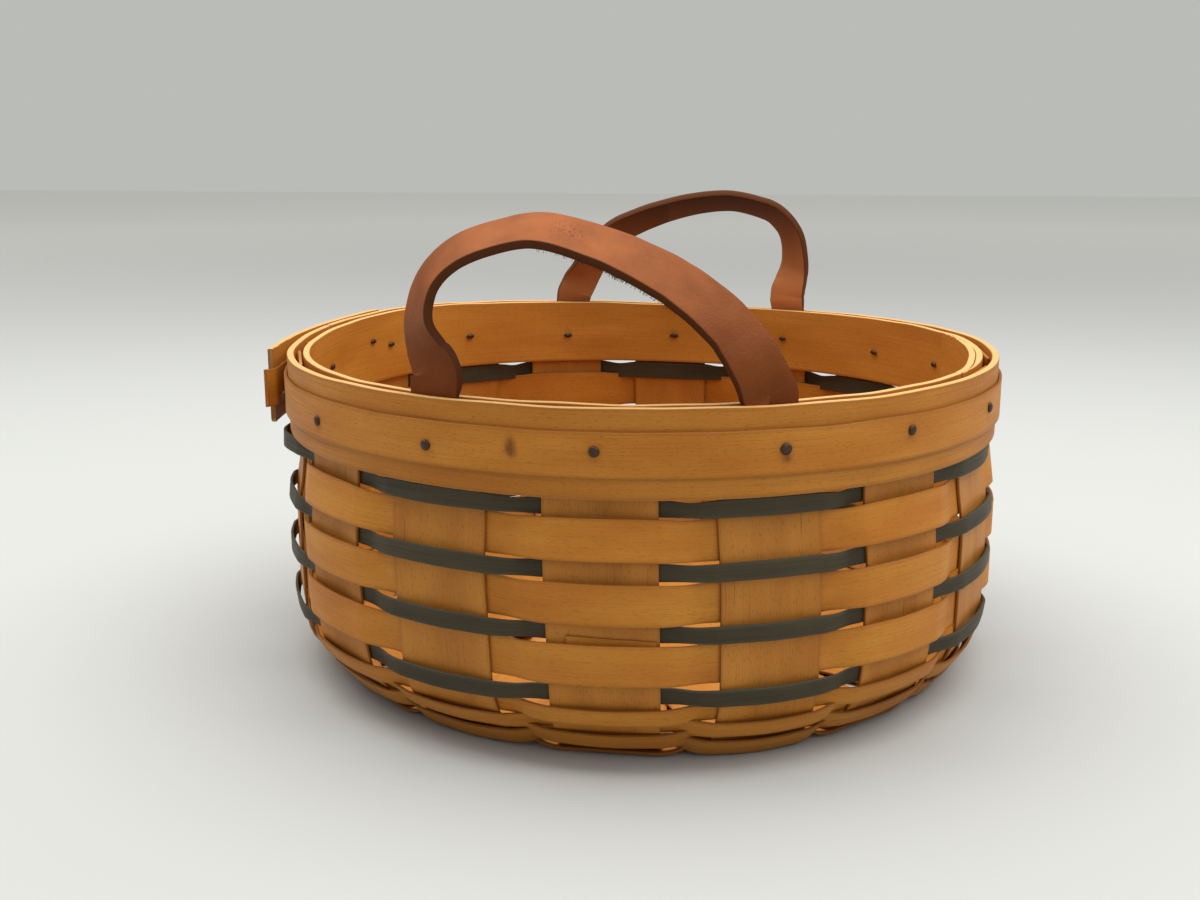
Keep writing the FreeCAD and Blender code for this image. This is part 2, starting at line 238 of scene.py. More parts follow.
def splintWood(name, s):
    material, tree = newMaterial(name)
    read = {}
    for key in ("grain", "edge", "cut", "tone", "stainAndPaintedLight"):
        read[key] = addNode(tree, "ShaderNodeAttribute", attribute_name=key).outputs
    patterns = {}
    for layer, detail in (("streak", 3.0), ("cloud", 2.0), ("fleck", 1.0)):
        size = (1 / s[layer + "Length"], 1 / s[layer + "Width"], 1 / s[layer + "Width"])
        spot = addNode(tree, "ShaderNodeMapping", {"Vector": read["grain"]["Vector"], "Scale": size})
        settings = {"Vector": spot, "Scale": 1.0, "Detail": detail}
        patterns[layer] = addNode(tree, "ShaderNodeTexNoise", settings)
    streak = patterns["streak"]
    crackRange = (s["crackFrom"], s["crackFrom"] + s["crackRun"])
    shares = []
    for layer, (low, high), most in (
            ("cloud", s["cloudRange"], 1.0), ("streak", s["streakRange"], s["streakAmount"]),
            ("streak", crackRange, s["crackAmount"]), ("fleck", s["fleckRange"], s["fleckAmount"])):
        shares.append(addNode(tree, "ShaderNodeMapRange", {0: patterns[layer], 1: low, 2: high, 4: most}))
    shares.append(addNode(tree, "ShaderNodeMath", {0: read["edge"]["Fac"], 1: s["wornAmount"]},
                          operation="MULTIPLY"))
    shares += [read["cut"]["Fac"], read["stainAndPaintedLight"]["Fac"]]
    colour = linear(s["middle"])
    layers = zip(shares, ("light", "dark", "stainAndPaintedLight", "dark", "edge", "cut", "stainAndPaintedLight"))
    for share, key in layers:  # each lies over the ones before it
        over = {0: share, 6: colour, 7: linear(s[key])}
        colour = addNode(tree, "ShaderNodeMix", over, data_type="RGBA").outputs[2]
    level = addNode(tree, "ShaderNodeMath", {0: read["tone"]["Fac"], 1: 1.0}, operation="ADD")
    toned = addNode(tree, "ShaderNodeHueSaturation", {"Color": colour, "Value": level})
    rough = addNode(tree, "ShaderNodeMapRange",
                    {0: streak, 1: 0.3, 2: 0.7, 3: s["roughness"] - 0.06, 4: s["roughness"] + 0.1})
    bump = addNode(tree, "ShaderNodeBump", {"Height": streak, "Strength": s["bump"], "Distance": 0.0002})
    shader = addNode(tree, "ShaderNodeBsdfPrincipled",
                     {"Base Color": toned, "Roughness": rough, "Normal": bump,
                      "Specular IOR Level": s["specular"]})
    addNode(tree, "ShaderNodeOutputMaterial", {"Surface": shader})
    return material


leatherSettings = {
    "grainSide": "#995422",
    "grainDark": "#84471a",
    # root colour: handling wear, and painted shade on the strap's legs
    "root": "#54250b",
    "fleshSide": "#643619",
    "fleshPale": "#7d4a28",
    "edge": "#4d2912",
    "scuff": "#6f3114",
    "poreSize": (0.0007, 0.0007, 0.0007),
    "cloudSize": (0.011, 0.011, 0.011),
    "fleshSize": (0.0011, 0.0011, 0.0011),
    "scuffSize": (0.0006, 0.0016, 0.0016),
    "cloudRange": (0.35, 0.65),
    "fleshRange": (0.4, 0.7),
    "scuffRange": (0.5, 0.62),
    "roughness": 0.5,
    "napRoughness": 0.8,
    "bump": 0.35,
    "specular": 0.1,
}
# pale root colour behind: worn nap, and painted sheen where the rear roots are lit
rearSettings = dict(
    leatherSettings, fleshSide="#371c0b", fleshPale="#492812", root="#c57c4a", edge="#5a331a")


def strapLeather(name, s):
    material, tree = newMaterial(name)
    read = {}
    for key in ("grain", "edge", "back", "stainAndPaintedLight", "cut"):
        read[key] = addNode(tree, "ShaderNodeAttribute", attribute_name=key).outputs
    back = read["back"]["Fac"]
    spots = {}
    for layer in ("cloud", "pore", "flesh", "scuff"):
        scale = tuple(1 / size for size in s[layer + "Size"])
        spots[layer] = addNode(tree, "ShaderNodeMapping", {"Vector": read["grain"]["Vector"], "Scale": scale})
    cloud = addNode(tree, "ShaderNodeTexNoise", {"Vector": spots["cloud"], "Scale": 1.0, "Detail": 3.0})
    pores = addNode(tree, "ShaderNodeTexVoronoi", {"Vector": spots["pore"], "Scale": 1.0})
    nap = addNode(tree, "ShaderNodeTexNoise", {"Vector": spots["flesh"], "Scale": 1.0, "Detail": 4.0})
    marks = addNode(tree, "ShaderNodeTexNoise", {"Vector": spots["scuff"], "Scale": 1.0, "Detail": 1.0})
    shares = []
    for pattern, (low, high) in ((cloud, s["cloudRange"]), (nap, s["fleshRange"]), (marks, s["scuffRange"])):
        shares.append(addNode(tree, "ShaderNodeMapRange", {0: pattern, 1: low, 2: high}))
    mottle, napped, scored = shares
    scuffed = addNode(tree, "ShaderNodeMath", {0: scored, 1: read["cut"]["Fac"]}, operation="MULTIPLY")
    sides = []
    for share, low, high in ((mottle, "grainDark", "grainSide"), (napped, "fleshSide", "fleshPale")):
        tones = {0: share, 6: linear(s[low]), 7: linear(s[high])}
        sides.append(addNode(tree, "ShaderNodeMix", tones, data_type="RGBA").outputs[2])
    colour = sides[0]
    # root colour over the roots and legs: painted shade and sheen, with wear
    layers = ((back, sides[1]), (read["stainAndPaintedLight"]["Fac"], linear(s["root"])), (scuffed, linear(s["scuff"])),
              (read["edge"]["Fac"], linear(s["edge"])))
    for share, over in layers:  # each lies over the ones before it
        colour = addNode(tree, "ShaderNodeMix", {0: share, 6: colour, 7: over}, data_type="RGBA").outputs[2]
    height = addNode(tree, "ShaderNodeMix", {0: back, 2: pores.outputs["Distance"], 3: nap.outputs[0]})
    bump = addNode(tree, "ShaderNodeBump", {"Height": height, "Strength": s["bump"], "Distance": 0.0002})
    rough = addNode(tree, "ShaderNodeMapRange", {0: back, 3: s["roughness"], 4: s["napRoughness"]})
    shader = addNode(tree, "ShaderNodeBsdfPrincipled",
                     {"Base Color": colour, "Roughness": rough, "Normal": bump,
                      "Specular IOR Level": s["specular"]})
    addNode(tree, "ShaderNodeOutputMaterial", {"Surface": shader})
    return material


steelSettings = {"steel": "#4a3a31", "rust": "#452a1a", "grit": 0.0006, "roughness": 0.4}


def bluedSteel(s):
    material, tree = newMaterial("blued steel tack")  # dark dull heads with a soft glint and a trace of rust
    spot = addNode(tree, "ShaderNodeTexCoord")
    scale = (1 / s["grit"],) * 3
    scaled = addNode(tree, "ShaderNodeMapping", {"Vector": spot.outputs["Object"], "Scale": scale})
    grit = addNode(tree, "ShaderNodeTexNoise", {"Vector": scaled, "Scale": 1.0, "Detail": 2.0})
    rusted = addNode(tree, "ShaderNodeMapRange", {0: grit, 1: 0.45, 2: 0.7})
    tones = {0: rusted, 6: linear(s["steel"]), 7: linear(s["rust"])}
    colour = addNode(tree, "ShaderNodeMix", tones, data_type="RGBA")
    rough = addNode(tree, "ShaderNodeMapRange", {0: grit, 3: s["roughness"] - 0.1, 4: s["roughness"] + 0.25})
    shader = addNode(tree, "ShaderNodeBsdfPrincipled",
                     {"Base Color": colour.outputs[2], "Roughness": rough, "Metallic": 0.75})
    addNode(tree, "ShaderNodeOutputMaterial", {"Surface": shader})
    return material


makeCamera(cameraSettings)
makeStage(stageSettings)
# thin sliced maple: long fine lines, honey tone
mapleSplint = splintWood("oiled maple splint", mapleSettings)
# browner heartwood with short scratchy flecks
uprightMaple = splintWood("oiled maple upright", uprightSettings)
hoopMaple = splintWood("oiled bent maple", hoopSettings)  # same wood; its pale top edges are part sawn wood, part painted highlight
bandMaple = splintWood("oiled maple band", bandSettings)  # thin band; its top cut edge is darker than its face: dark cut wood, with painted shade along the step
# slate green stain with the grain showing
greenSplint = splintWood("green-stained maple splint", greenSettings)
# smooth waxed face, dark cut edges
leather = strapLeather("vegetable-tanned strap leather", leatherSettings)
# dark napped back; paler roots, part worn nap, part painted sheen where lit
rearLeather = strapLeather("strap leather seen from its nap", rearSettings)
tackSteel = bluedSteel(steelSettings)
print("camera, light and materials made")

# Strips: a rounded flat section carried along a list of stations
stripSettings = {"cornerSteps": 3, "support": 0.0009}


def stripSection(halfWidth, halfThick, radius, spans=1):
    # (across, layer) points, with extra points beside the edges
    radius = min(radius, halfThick * 0.98)
    inner = halfWidth - radius - stripSettings["support"]
    row = [inner - 2 * inner * i / spans for i in range(spans + 1)]
    points = []
    for corner, (sideA, sideT) in enumerate(((1, 1), (-1, 1), (-1, -1), (1, -1))):
        for step in range(stripSettings["cornerSteps"] + 1):
            turn = math.radians(90 * corner + 90 * step / stripSettings["cornerSteps"])
            points.append((sideA * (halfWidth - radius) + radius * math.cos(turn),
                           sideT * (halfThick - radius) + radius * math.sin(turn)))
        if corner == 0:
            points += [(across, halfThick) for across in row]
        if corner == 2:
            points += [(-across, -halfThick) for across in row]
    return points


def stripMesh(name, stations, material, radius=0.0002, grainShift=0.0, tone=0.0, spans=1, stainAndPaintedLightAt=None,
              rim=0.0012, cuts=None):
    # each station is (point, across, outward, halfWidth, halfThick), both directions unit vectors
    points, grain, edge, cut, back = [], [], [], [], []
    along = 0.0
    for index, (point, across, outward, halfWidth, halfThick) in enumerate(stations):
        if index:
            along += (point - stations[index - 1][0]).length
        for u, v in stripSection(halfWidth, halfThick, radius, spans):
            points.append(point + across * u + outward * v)
            grain.append((along + grainShift, u + grainShift, v))
            edge.append(smooth(abs(u), halfWidth - rim, halfWidth - rim / 6))
            cut.append(1.0 if abs(u) > halfWidth - radius * 0.3 else 0.0)
            back.append(1.0 if v < 0 else 0.0)
    ring = len(points) // len(stations)
    faces = []
    for i in range(len(stations) - 1):
        for j in range(ring):
            k = (j + 1) % ring
            faces.append((i * ring + j, i * ring + k, (i + 1) * ring + k, (i + 1) * ring + j))
    faces.append(tuple(range(ring)))
    faces.append(tuple(reversed(range((len(stations) - 1) * ring, len(stations) * ring))))
    mesh = bpy.data.meshes.new(name)
    mesh.from_pydata(points, [], faces)
    grains = mesh.attributes.new("grain", "FLOAT_VECTOR", "POINT")
    grains.data.foreach_set("vector", [c for g in grain for c in g])
    # real stains and rust, and painted shade and sheen where a piece asks for them
    stainAndPaintedLight = [stainAndPaintedLightAt(point) if stainAndPaintedLightAt else 0.0 for point in points]
    if cuts:
        cut = [cuts(point) for point in points]
    painted = (("edge", edge), ("cut", cut), ("back", back), ("stainAndPaintedLight", stainAndPaintedLight), ("tone", [tone] * len(points)))
    for key, values in painted:
        mesh.attributes.new(key, "FLOAT", "POINT").data.foreach_set("value", values)
    work = bmesh.new()
    work.from_mesh(mesh)
    bmesh.ops.recalc_face_normals(work, faces=work.faces)
    work.to_mesh(mesh)
    work.free()
    mesh.shade_smooth()
    mesh.set_sharp_from_angle(angle=math.radians(50))
    mesh.materials.append(material)
    piece = bpy.data.objects.new(name, mesh)
    scene.collection.objects.link(piece)
    return piece


# The basket is a little out of true: lifts of the rim every 15 degrees and turns of the wall, in degrees,
# every 22.5, both from the back round by the left
warpSettings = {
    "lifts": (-0.00055, 0.0004, 0.00145, 0.0025, 0.0032, 0.0023, 0.0010, 0.0001, 0, 0, 0, 0,
              0, 0, 0, 0, 0, 0, 0.0002, 0.0003, 0, -0.0003, -0.00065, -0.0009),
    "topTurns": (0, 0, 0, 0, -0.8, -1.3, -1.2, -0.2, 1.2, 1.9, 1.3, 2.2, 1.6, 0.9, 0.4, 0.1),
    "lowTurns": (0, 0, 0, 0.5, 0.9, 1.0, 1.35, 1.5, 2.0, 2.2, 0.9, 1.6, 1.3, 0.8, 0.4, 0.1),
    "tucks": (0.002, 0.002, 0.002, 0.002, 0.0025, 0.003, 0.0035, 0.0035, 0.0025, 0.0012, 0.0022, 0.002, 0.002,
              0.002, 0.002, 0.002),   # how far the foot of the wall is drawn in
    "tuckFrom": 0.020,
    "tuckFull": 0.004,
    "topHeight": 0.075,
    "lowHeight": 0.022,
    "stillRadius": 0.04,
    "freeRadius": 0.09,
}


def ringValue(values, angle):  # smooth value at an angle, from values evenly spread round the ring
    spot = (angle + 180) / 360 * len(values)
    span = math.floor(spot)
    share = spot - span
    return through(*(values[(span + i) % len(values)] for i in (-1, 0, 1, 2)), share)


def warp(mesh, s=warpSettings):
    for vertex in mesh.vertices:
        co = vertex.co
        level = min(1.0, max(0.0, co.z / rimTop)) ** 2
        co.z += level * ringValue(s["lifts"], math.degrees(math.atan2(co.x, -co.y)))
        co.z = max(0.0, co.z)  # nothing sinks into the floor


def twist(mesh, s=warpSettings):
    for vertex in mesh.vertices:
        co = vertex.co
        angle = math.degrees(math.atan2(co.x, -co.y))
        high = min(1.0, max(0.0, (co.z - s["lowHeight"]) / (s["topHeight"] - s["lowHeight"])))
        turn = ringValue(s["lowTurns"], angle) * (1 - high) + ringValue(s["topTurns"], angle) * high
        out = math.hypot(co.x, co.y)
        free = smooth(out, s["stillRadius"], s["freeRadius"])
        foot = smooth(s["tuckFrom"] - co.z, 0.0, s["tuckFrom"] - s["tuckFull"])
        drawn = ringValue(s["tucks"], angle) * foot
        vertex.co = place(angle + turn * free, out - drawn * free, co.z)


def finishPiece(piece, body, slot, *nodes):
    warp(piece.data)
    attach(piece, body)
    if nodes:
        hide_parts(*nodes)


# Wall outline of an upright, along the middle of its thickness
wallSettings = {
    "splint": 0.0009,
    "uprightWidth": 0.0305,
    "uprightCount": 16,
    "topDrop": 0.0015,
    "seat": 0.0002,
    "bellyRadius": 0.080,
    "bellyAngle": 10.5,
    "taperRadius": 0.040,
    "taperAngle": 35.0,
    "cornerRadius": 0.010,
    "crossMargin": 0.003,
    "stepRun": 0.011,
    "stackRun": 0.017,
    "stationStep": 0.0025,
    "edgeWander": 0.00018,
    "shiftPeriod": 0.03,
    "widthPeriod": 0.05,
    "edgeRadius": 0.0002,
    "grainStep": 0.53,
    "tone": -0.04,
    "toneSpread": 0.05,
}
halfSplint = wallSettings["splint"] / 2
levelStep = wallSettings["splint"] + wallSettings["seat"]
baseLevel = splintLow.z + halfSplint
wallRadius = splintHigh.y - halfSplint
bellyTurn = math.radians(wallSettings["bellyAngle"])
uprightRadius = wallRadius - 2 * wallSettings["bellyRadius"] * (1 - math.cos(bellyTurn))
bellyLength = bellyTurn * wallSettings["bellyRadius"]
bellyBottom = hoopBottom - 2 * wallSettings["bellyRadius"] * math.sin(bellyTurn)
taperTurn = math.radians(wallSettings["taperAngle"])
cornerTop = baseLevel + wallSettings["cornerRadius"] * (1 - math.sin(taperTurn))
taperTop = cornerTop + wallSettings["taperRadius"] * math.sin(taperTurn)
wallRuns = (
    (rimTop - hoopBottom, 0.0),
    (bellyLength, bellyTurn),
    (bellyLength, -bellyTurn),
    (bellyBottom - taperTop, 0.0),
    (taperTurn * wallSettings["taperRadius"], -taperTurn),
    ((math.pi / 2 - taperTurn) * wallSettings["cornerRadius"], taperTurn - math.pi / 2),
)
wallLength = sum(length for length, turn in wallRuns)
uprightPitch = 360 / wallSettings["uprightCount"]


def wallAt(depth):  # distance from the axis, height and heading at a depth below the rim, along the wall
    out, height, heading = uprightRadius, rimTop, -math.pi / 2
    for length, turn in wallRuns:
        run = min(depth, length)
        if turn:
            curve = turn / length
            after = heading + curve * run
            out += (math.sin(after) - math.sin(heading)) / curve
            height -= (math.cos(after) - math.cos(heading)) / curve
            heading = after
        else:
            out += run * math.cos(heading)
            height += run * math.sin(heading)
        depth -= run
        if depth <= 0:
            break
    return out, height, heading


def makeUprights(s):
    halfWidth = s["uprightWidth"] / 2
    reach = lambda angle: halfWidth / math.tan(math.radians(angle / 2))
    lowIn = reach(2 * uprightPitch) + s["crossMargin"]
    highIn = lowIn + s["crossMargin"]
    stepIn = reach(uprightPitch) + s["crossMargin"]
    stripCount = s["uprightCount"] // 2
    for index in range(stripCount):
        upper = index % 2 == 1
        level = index // 2 + (stripCount // 2 if upper else 0)
        if upper:
            steps = ((stepIn + s["stepRun"], stepIn, 0, 1), (highIn + s["stackRun"], highIn, 1, level))
        else:
            steps = ((lowIn + s["stackRun"], lowIn, 0, level),)
        side = []  # one half of the strip, from its top end to the middle of the base
        count = math.ceil((wallLength - s["topDrop"]) / s["stationStep"])
        for i in range(count + 1):
            out, height, heading = wallAt(s["topDrop"] + (wallLength - s["topDrop"]) * i / count)
            side.append((out, height, -math.sin(heading), math.cos(heading)))
        cornerEnd = side[-1][0]
        count = math.ceil(cornerEnd / s["stationStep"])
        for i in range(1, count + 1):
            out = cornerEnd * (1 - i / count)
            lift = 0.0
            for outer, inner, low, high in steps:
                if out < outer:
                    lift = low + (high - low) * smooth((outer - out) / (outer - inner))
            side.append((out, baseLevel + lift * levelStep, 0.0, -1.0))
        whole = side + [(-out, height, -outX, outZ) for out, height, outX, outZ in reversed(side[:-1])]
        along = place(index * uprightPitch, 1.0)
        across = place(index * uprightPitch, 0.0, 0.0, 1.0)
        stations = []
        for i, (out, height, outX, outZ) in enumerate(whole):
            shift = wander(i * s["stationStep"], index + 11, s["shiftPeriod"]) * s["edgeWander"]
            point = along * out + Vector((0, 0, height)) + across * shift
            outward = (along * outX + Vector((0, 0, outZ))).normalized()
            width = halfWidth + wander(i * s["stationStep"], index + 31, s["widthPeriod"]) * s["edgeWander"]
            stations.append((point, across, outward, width, halfSplint))
        tone = s["tone"] + s["toneSpread"] * wander(index * 1.0, 3, 0.7)
        node = "upright_splint_%d" % (index + 1)
        grainShift = index * s["grainStep"]
        piece = stripMesh(node + "_wood", stations, uprightMaple, s["edgeRadius"], grainShift, tone)
        twist(piece.data)
        finishPiece(piece, "basket", "maple_splint", node)


makeUprights(wallSettings)
print("upright splints made")

# Weavers: rows that pass outside every second upright and behind the others
rowSettings = {
    "naturalWidth": 0.012,
    "greenWidth": 0.0052,
    "baseWidth": 0.0054,
    "wallRows": 7,
    "firstGap": 0.0004,
    "rowGap": 0.0002,
    "lowGap": 0.0009,
    "bulge": 0.0018,
    "pinches": (0.22, 0.06, 0.1, 0.05, 0.1, 0.05, 0.1),  # how much a strip narrows where it changes sides
    "leftBulges": (0.0032, 0.0, 0.0, 0.0, 0.0, 0.0, -0.0006),
    "leftAngle": -67.5,
    "backSinks": (0.0011, 0.0012, 0.0028, 0.0024, 0.0020, 0.0016, 0.0004),
    "backWidths": (0.38, 0.3, 0.0, -0.04, 0.0, -0.04, 0.0),
    "baseStrips": (0.0058, 0.0054, 0.0061, 0.0076, 0.0095),  # the strips overlap a little where they cross
    "baseShifts": (0.0, -0.0004, -0.0013, -0.0030, -0.00145),
    "baseBulges": (0.0013, 0.0015, 0.0012, 0.0012, 0.0),
    "basePinches": (-0.05, -0.15, -0.15, -0.1, 0.0),
    "baseLeftSink": 0.0006,
    "wallTone": -0.06,
    # painted shade: the base rows are painted darker, row by row, towards the floor
    "baseShadeTones": (-0.12, -0.16, -0.22, -0.26, -0.26),
    "crossing": 4.0,       # how sharply a row changes sides between two uprights
    "ringPoints": 640,
    "heightWander": 0.00028,
    "outWander": 0.00015,
    "edgeRadius": 0.0002,
    "wornFrom": 0.0012,    # worn edge, from the strip's rim inwards
    "wornFull": 0.0002,
    "leftSharp": 8.0,
    "crossSharp": 6.0,
    "driftScale": 4.0,
    "grainStep": 0.71,
    "seedStep": 3.7,
    "uprightShare": 0.68,  # share of the pitch that an upright covers
}
rowNumbers = (
    "Distance", "Height", "Lean", "Lift Outside", "Lift Inside", "Bulge", "Half Width", "Uprights", "Side",
    "Tone", "Grain Shift", "Seed", "Back Sink", "Left Sink", "Start", "Pinch", "Back Width", "Left Bulge")
rowInputs = {"Section": "Object", "Material": "Material", **dict.fromkeys(rowNumbers, "Float")}


def newTree(name, inputs, seeded):  # empty tree, and the identifiers that its named inputs are set by
    tree = bpy.data.node_groups.new(name, "GeometryNodeTree")
    tree.is_modifier = True
    tree.interface.new_socket("Geometry", in_out="OUTPUT", socket_type="NodeSocketGeometry")
    if seeded:
        tree.interface.new_socket("Geometry", in_out="INPUT", socket_type="NodeSocketGeometry")
    sockets = {}
    for key, kind in inputs.items():
        socket = tree.interface.new_socket(key, in_out="INPUT", socket_type="NodeSocket" + kind)
        sockets[key] = socket.identifier
    return tree, sockets


def closeTree(tree, geometry, material):
    softened = addNode(tree, "GeometryNodeSetShadeSmooth", {"Geometry": geometry})
    whole = addNode(tree, "GeometryNodeRealizeInstances", {"Geometry": softened})
    dressed = addNode(tree, "GeometryNodeSetMaterial", {"Geometry": whole, "Material": material})
    addNode(tree, "NodeGroupOutput", {0: dressed})


def rowTree(s):
    tree, sockets = newTree("woven row", rowInputs, False)
    inputs = addNode(tree, "NodeGroupInput").outputs
    made = {socket.name: socket for socket in inputs}
    for name in ("along", "across", "layer"):
        stored = addNode(tree, "GeometryNodeInputNamedAttribute", {"Name": name}, data_type="FLOAT")
        made[name] = stored.outputs[0]
    made["length"] = addNode(tree, "GeometryNodeSplineParameter").outputs["Length"]
    index = addNode(tree, "GeometryNodeInputIndex")
    # the row starts behind an upright, so that its ends are hidden there
    turn = addNode(tree, "ShaderNodeMath", {0: index, 1: 2 * math.pi / s["ringPoints"], 2: inputs["Start"]},
                   operation="MULTIPLY_ADD")
    made["turn"] = turn
    for name in ("sine", "cosine"):
        made[name] = addNode(tree, "ShaderNodeMath", {0: turn}, operation=name.upper())
    spot = addNode(tree, "ShaderNodeCombineXYZ", {0: made["sine"], 1: made["cosine"], 2: inputs["Seed"]})
    drift = addNode(tree, "ShaderNodeTexNoise", {"Vector": spot, "Scale": s["driftScale"], "Detail": 1.0})
    drifts = addNode(tree, "ShaderNodeSeparateXYZ", {0: drift.outputs["Color"]})
    made["outDrift"], made["upDrift"] = drifts.outputs[0], drifts.outputs[1]
    # each step makes a named value from numbers, the tree's inputs and earlier values
    steps = (
        # distance from the axis, on the flat of an upright or stretched between two
        ("pitch", "DIVIDE", 2 * math.pi, "Uprights"), ("half", "MULTIPLY", "pitch", 0.5),
        ("ahead", "ADD", "turn", "half"), ("inPitch", "WRAP", "ahead", "pitch", 0.0),
        ("aside", "SUBTRACT", "inPitch", "half"), ("fromUpright", "ABSOLUTE", "aside"),
        ("uprightCos", "COSINE", "fromUpright"), ("onUpright", "DIVIDE", 1.0, "uprightCos"),
        ("edgeTurn", "MULTIPLY", "half", s["uprightShare"]), ("freeTurn", "SUBTRACT", "half", "edgeTurn"),
        ("freeCos", "COSINE", "freeTurn"), ("edgeCos", "COSINE", "edgeTurn"),
        ("slack", "DIVIDE", "freeCos", "edgeCos"), ("toMiddle", "SUBTRACT", "half", "fromUpright"),
        ("middleCos", "COSINE", "toMiddle"), ("between", "DIVIDE", "slack", "middleCos"),
        ("nearest", "MINIMUM", "onUpright", "between"), ("distance", "MULTIPLY", "Distance", "nearest"),
        # in and out past the uprights, with a bulge outside
        ("pairs", "MULTIPLY", "Uprights", 0.5), ("waveTurn", "MULTIPLY", "turn", "pairs"),
        ("waveCos", "COSINE", "waveTurn"), ("wave", "MULTIPLY", "waveCos", "Side"),
        ("steep", "MULTIPLY", "wave", s["crossing"]), ("swap", "TANH", "steep"),
        ("outside", "MULTIPLY_ADD", "swap", 0.5, 0.5), ("travel", "ADD", "Lift Outside", "Lift Inside"),
        ("inward", "MULTIPLY", "Lift Inside", -1.0),
        ("lifted", "MULTIPLY_ADD", "outside", "travel", "inward"),
        ("leftTurn", "SUBTRACT", "turn", math.radians(s["leftAngle"])), ("leftCos", "COSINE", "leftTurn"),
        ("leftPower", "MULTIPLY_ADD", "leftCos", s["leftSharp"], -s["leftSharp"]),
        ("nearLeft", "EXPONENT", "leftPower"), ("swell", "MULTIPLY_ADD", "nearLeft", "Left Bulge", "Bulge"),
        ("crest", "MAXIMUM", "wave", 0.0), ("crestShare", "POWER", "crest", 2.0),
        ("bulge", "MULTIPLY", "crestShare", "swell"), ("raised", "ADD", "lifted", "bulge"),
        ("outStray", "SUBTRACT", "outDrift", 0.5), ("outWander", "MULTIPLY", "outStray", 2 * s["outWander"]),
        ("offset", "ADD", "raised", "outWander"),
        # down the wall: a narrowed strip keeps the place of its lower edge
        ("upStray", "SUBTRACT", "upDrift", 0.5), ("upWander", "MULTIPLY", "upStray", 2 * s["heightWander"]),
        ("backShare", "MULTIPLY_ADD", "cosine", -0.5, 0.5), ("behind", "POWER", "backShare", 2.0),
        ("leftward", "MULTIPLY_ADD", "sine", -0.5, 0.5), ("waveSquare", "MULTIPLY", "wave", "wave"),
        ("crossPower", "MULTIPLY", "waveSquare", -s["crossSharp"]), ("crossed", "EXPONENT", "crossPower"),
        ("pinched", "MULTIPLY", "crossed", "Half Width"),
        ("backSunk", "MULTIPLY_ADD", "behind", "Back Sink", "upWander"),
        ("leftSunk", "MULTIPLY_ADD", "leftward", "Left Sink", "backSunk"),
        ("sink", "MULTIPLY_ADD", "pinched", "Pinch", "leftSunk"),
        # both turned by the lean of the wall, then round the axis
        ("leanCos", "COSINE", "Lean"), ("leanSin", "SINE", "Lean"),
        ("offsetOut", "MULTIPLY", "offset", "leanCos"), ("sinkIn", "MULTIPLY", "sink", "leanSin"),
        ("outStep", "SUBTRACT", "offsetOut", "sinkIn"), ("out", "ADD", "distance", "outStep"),
        ("offsetDown", "MULTIPLY", "offset", "leanSin"),
        ("sinkDown", "MULTIPLY", "sink", "leanCos"), ("down", "ADD", "offsetDown", "sinkDown"),
        ("x", "MULTIPLY", "out", "sine"), ("front", "MULTIPLY", "out", "cosine"),
        ("y", "MULTIPLY", "front", -1.0), ("z", "SUBTRACT", "Height", "down"),
        # width, grain and edges
        ("backWide", "MULTIPLY_ADD", "behind", "Back Width", 1.0), ("narrow", "MULTIPLY", "crossed", "Pinch"),
        ("width", "SUBTRACT", "backWide", "narrow"), ("railAlong", "ADD", "length", "Grain Shift"),
        ("acrossGrain", "ADD", "across", "Grain Shift"), ("fromMiddle", "ABSOLUTE", "across"),
        ("wornFrom", "SUBTRACT", "Half Width", s["wornFrom"]),
        ("wornFull", "SUBTRACT", "Half Width", s["wornFull"]),
        ("cutFrom", "SUBTRACT", "Half Width", s["edgeRadius"] * 0.3),
        ("cut", "GREATER_THAN", "fromMiddle", "cutFrom"),
    )
    for name, operation, *terms in steps:
        values = {i: made[term] if isinstance(term, str) else term for i, term in enumerate(terms)}
        made[name] = addNode(tree, "ShaderNodeMath", values, operation=operation)
    point = addNode(tree, "ShaderNodeCombineXYZ", {0: made["x"], 1: made["y"], 2: made["z"]})
    circle = addNode(tree, "GeometryNodeCurvePrimitiveCircle", {"Resolution": s["ringPoints"]})
    path = addNode(tree, "GeometryNodeSetPosition", {"Geometry": circle, "Position": point})
    upright = addNode(tree, "GeometryNodeSetCurveNormal", {0: path}, mode="Z_UP")
    tilted = addNode(tree, "GeometryNodeSetCurveTilt", {"Curve": upright, "Tilt": inputs["Lean"]})
    rail = addNode(tree, "GeometryNodeStoreNamedAttribute",
                   {"Geometry": tilted, "Name": "along", "Value": made["railAlong"]})
    section = addNode(tree, "GeometryNodeObjectInfo", {"Object": inputs["Section"]}).outputs["Geometry"]
    corner = addNode(tree, "ShaderNodeSeparateXYZ", {0: addNode(tree, "GeometryNodeInputPosition")})
    for name, value in (("across", corner.outputs[1]), ("layer", corner.outputs[0])):
        section = addNode(tree, "GeometryNodeStoreNamedAttribute",
                          {"Geometry": section, "Name": name, "Value": value})
    strip = addNode(tree, "GeometryNodeCurveToMesh",
                    {"Curve": rail, "Profile Curve": section, "Scale": made["width"]})
    worn = {0: made["fromMiddle"], 1: made["wornFrom"], 2: made["wornFull"]}
    edge = addNode(tree, "ShaderNodeMapRange", worn)
    grain = addNode(tree, "ShaderNodeCombineXYZ",
                    {0: made["along"], 1: made["acrossGrain"], 2: made["layer"]})
    result = addNode(tree, "GeometryNodeStoreNamedAttribute",
                     {"Geometry": strip, "Name": "grain", "Value": grain}, data_type="FLOAT_VECTOR")
    for name, value in (("edge", edge), ("cut", made["cut"]), ("tone", inputs["Tone"])):
        result = addNode(tree, "GeometryNodeStoreNamedAttribute",
                         {"Geometry": result, "Name": name, "Value": value})
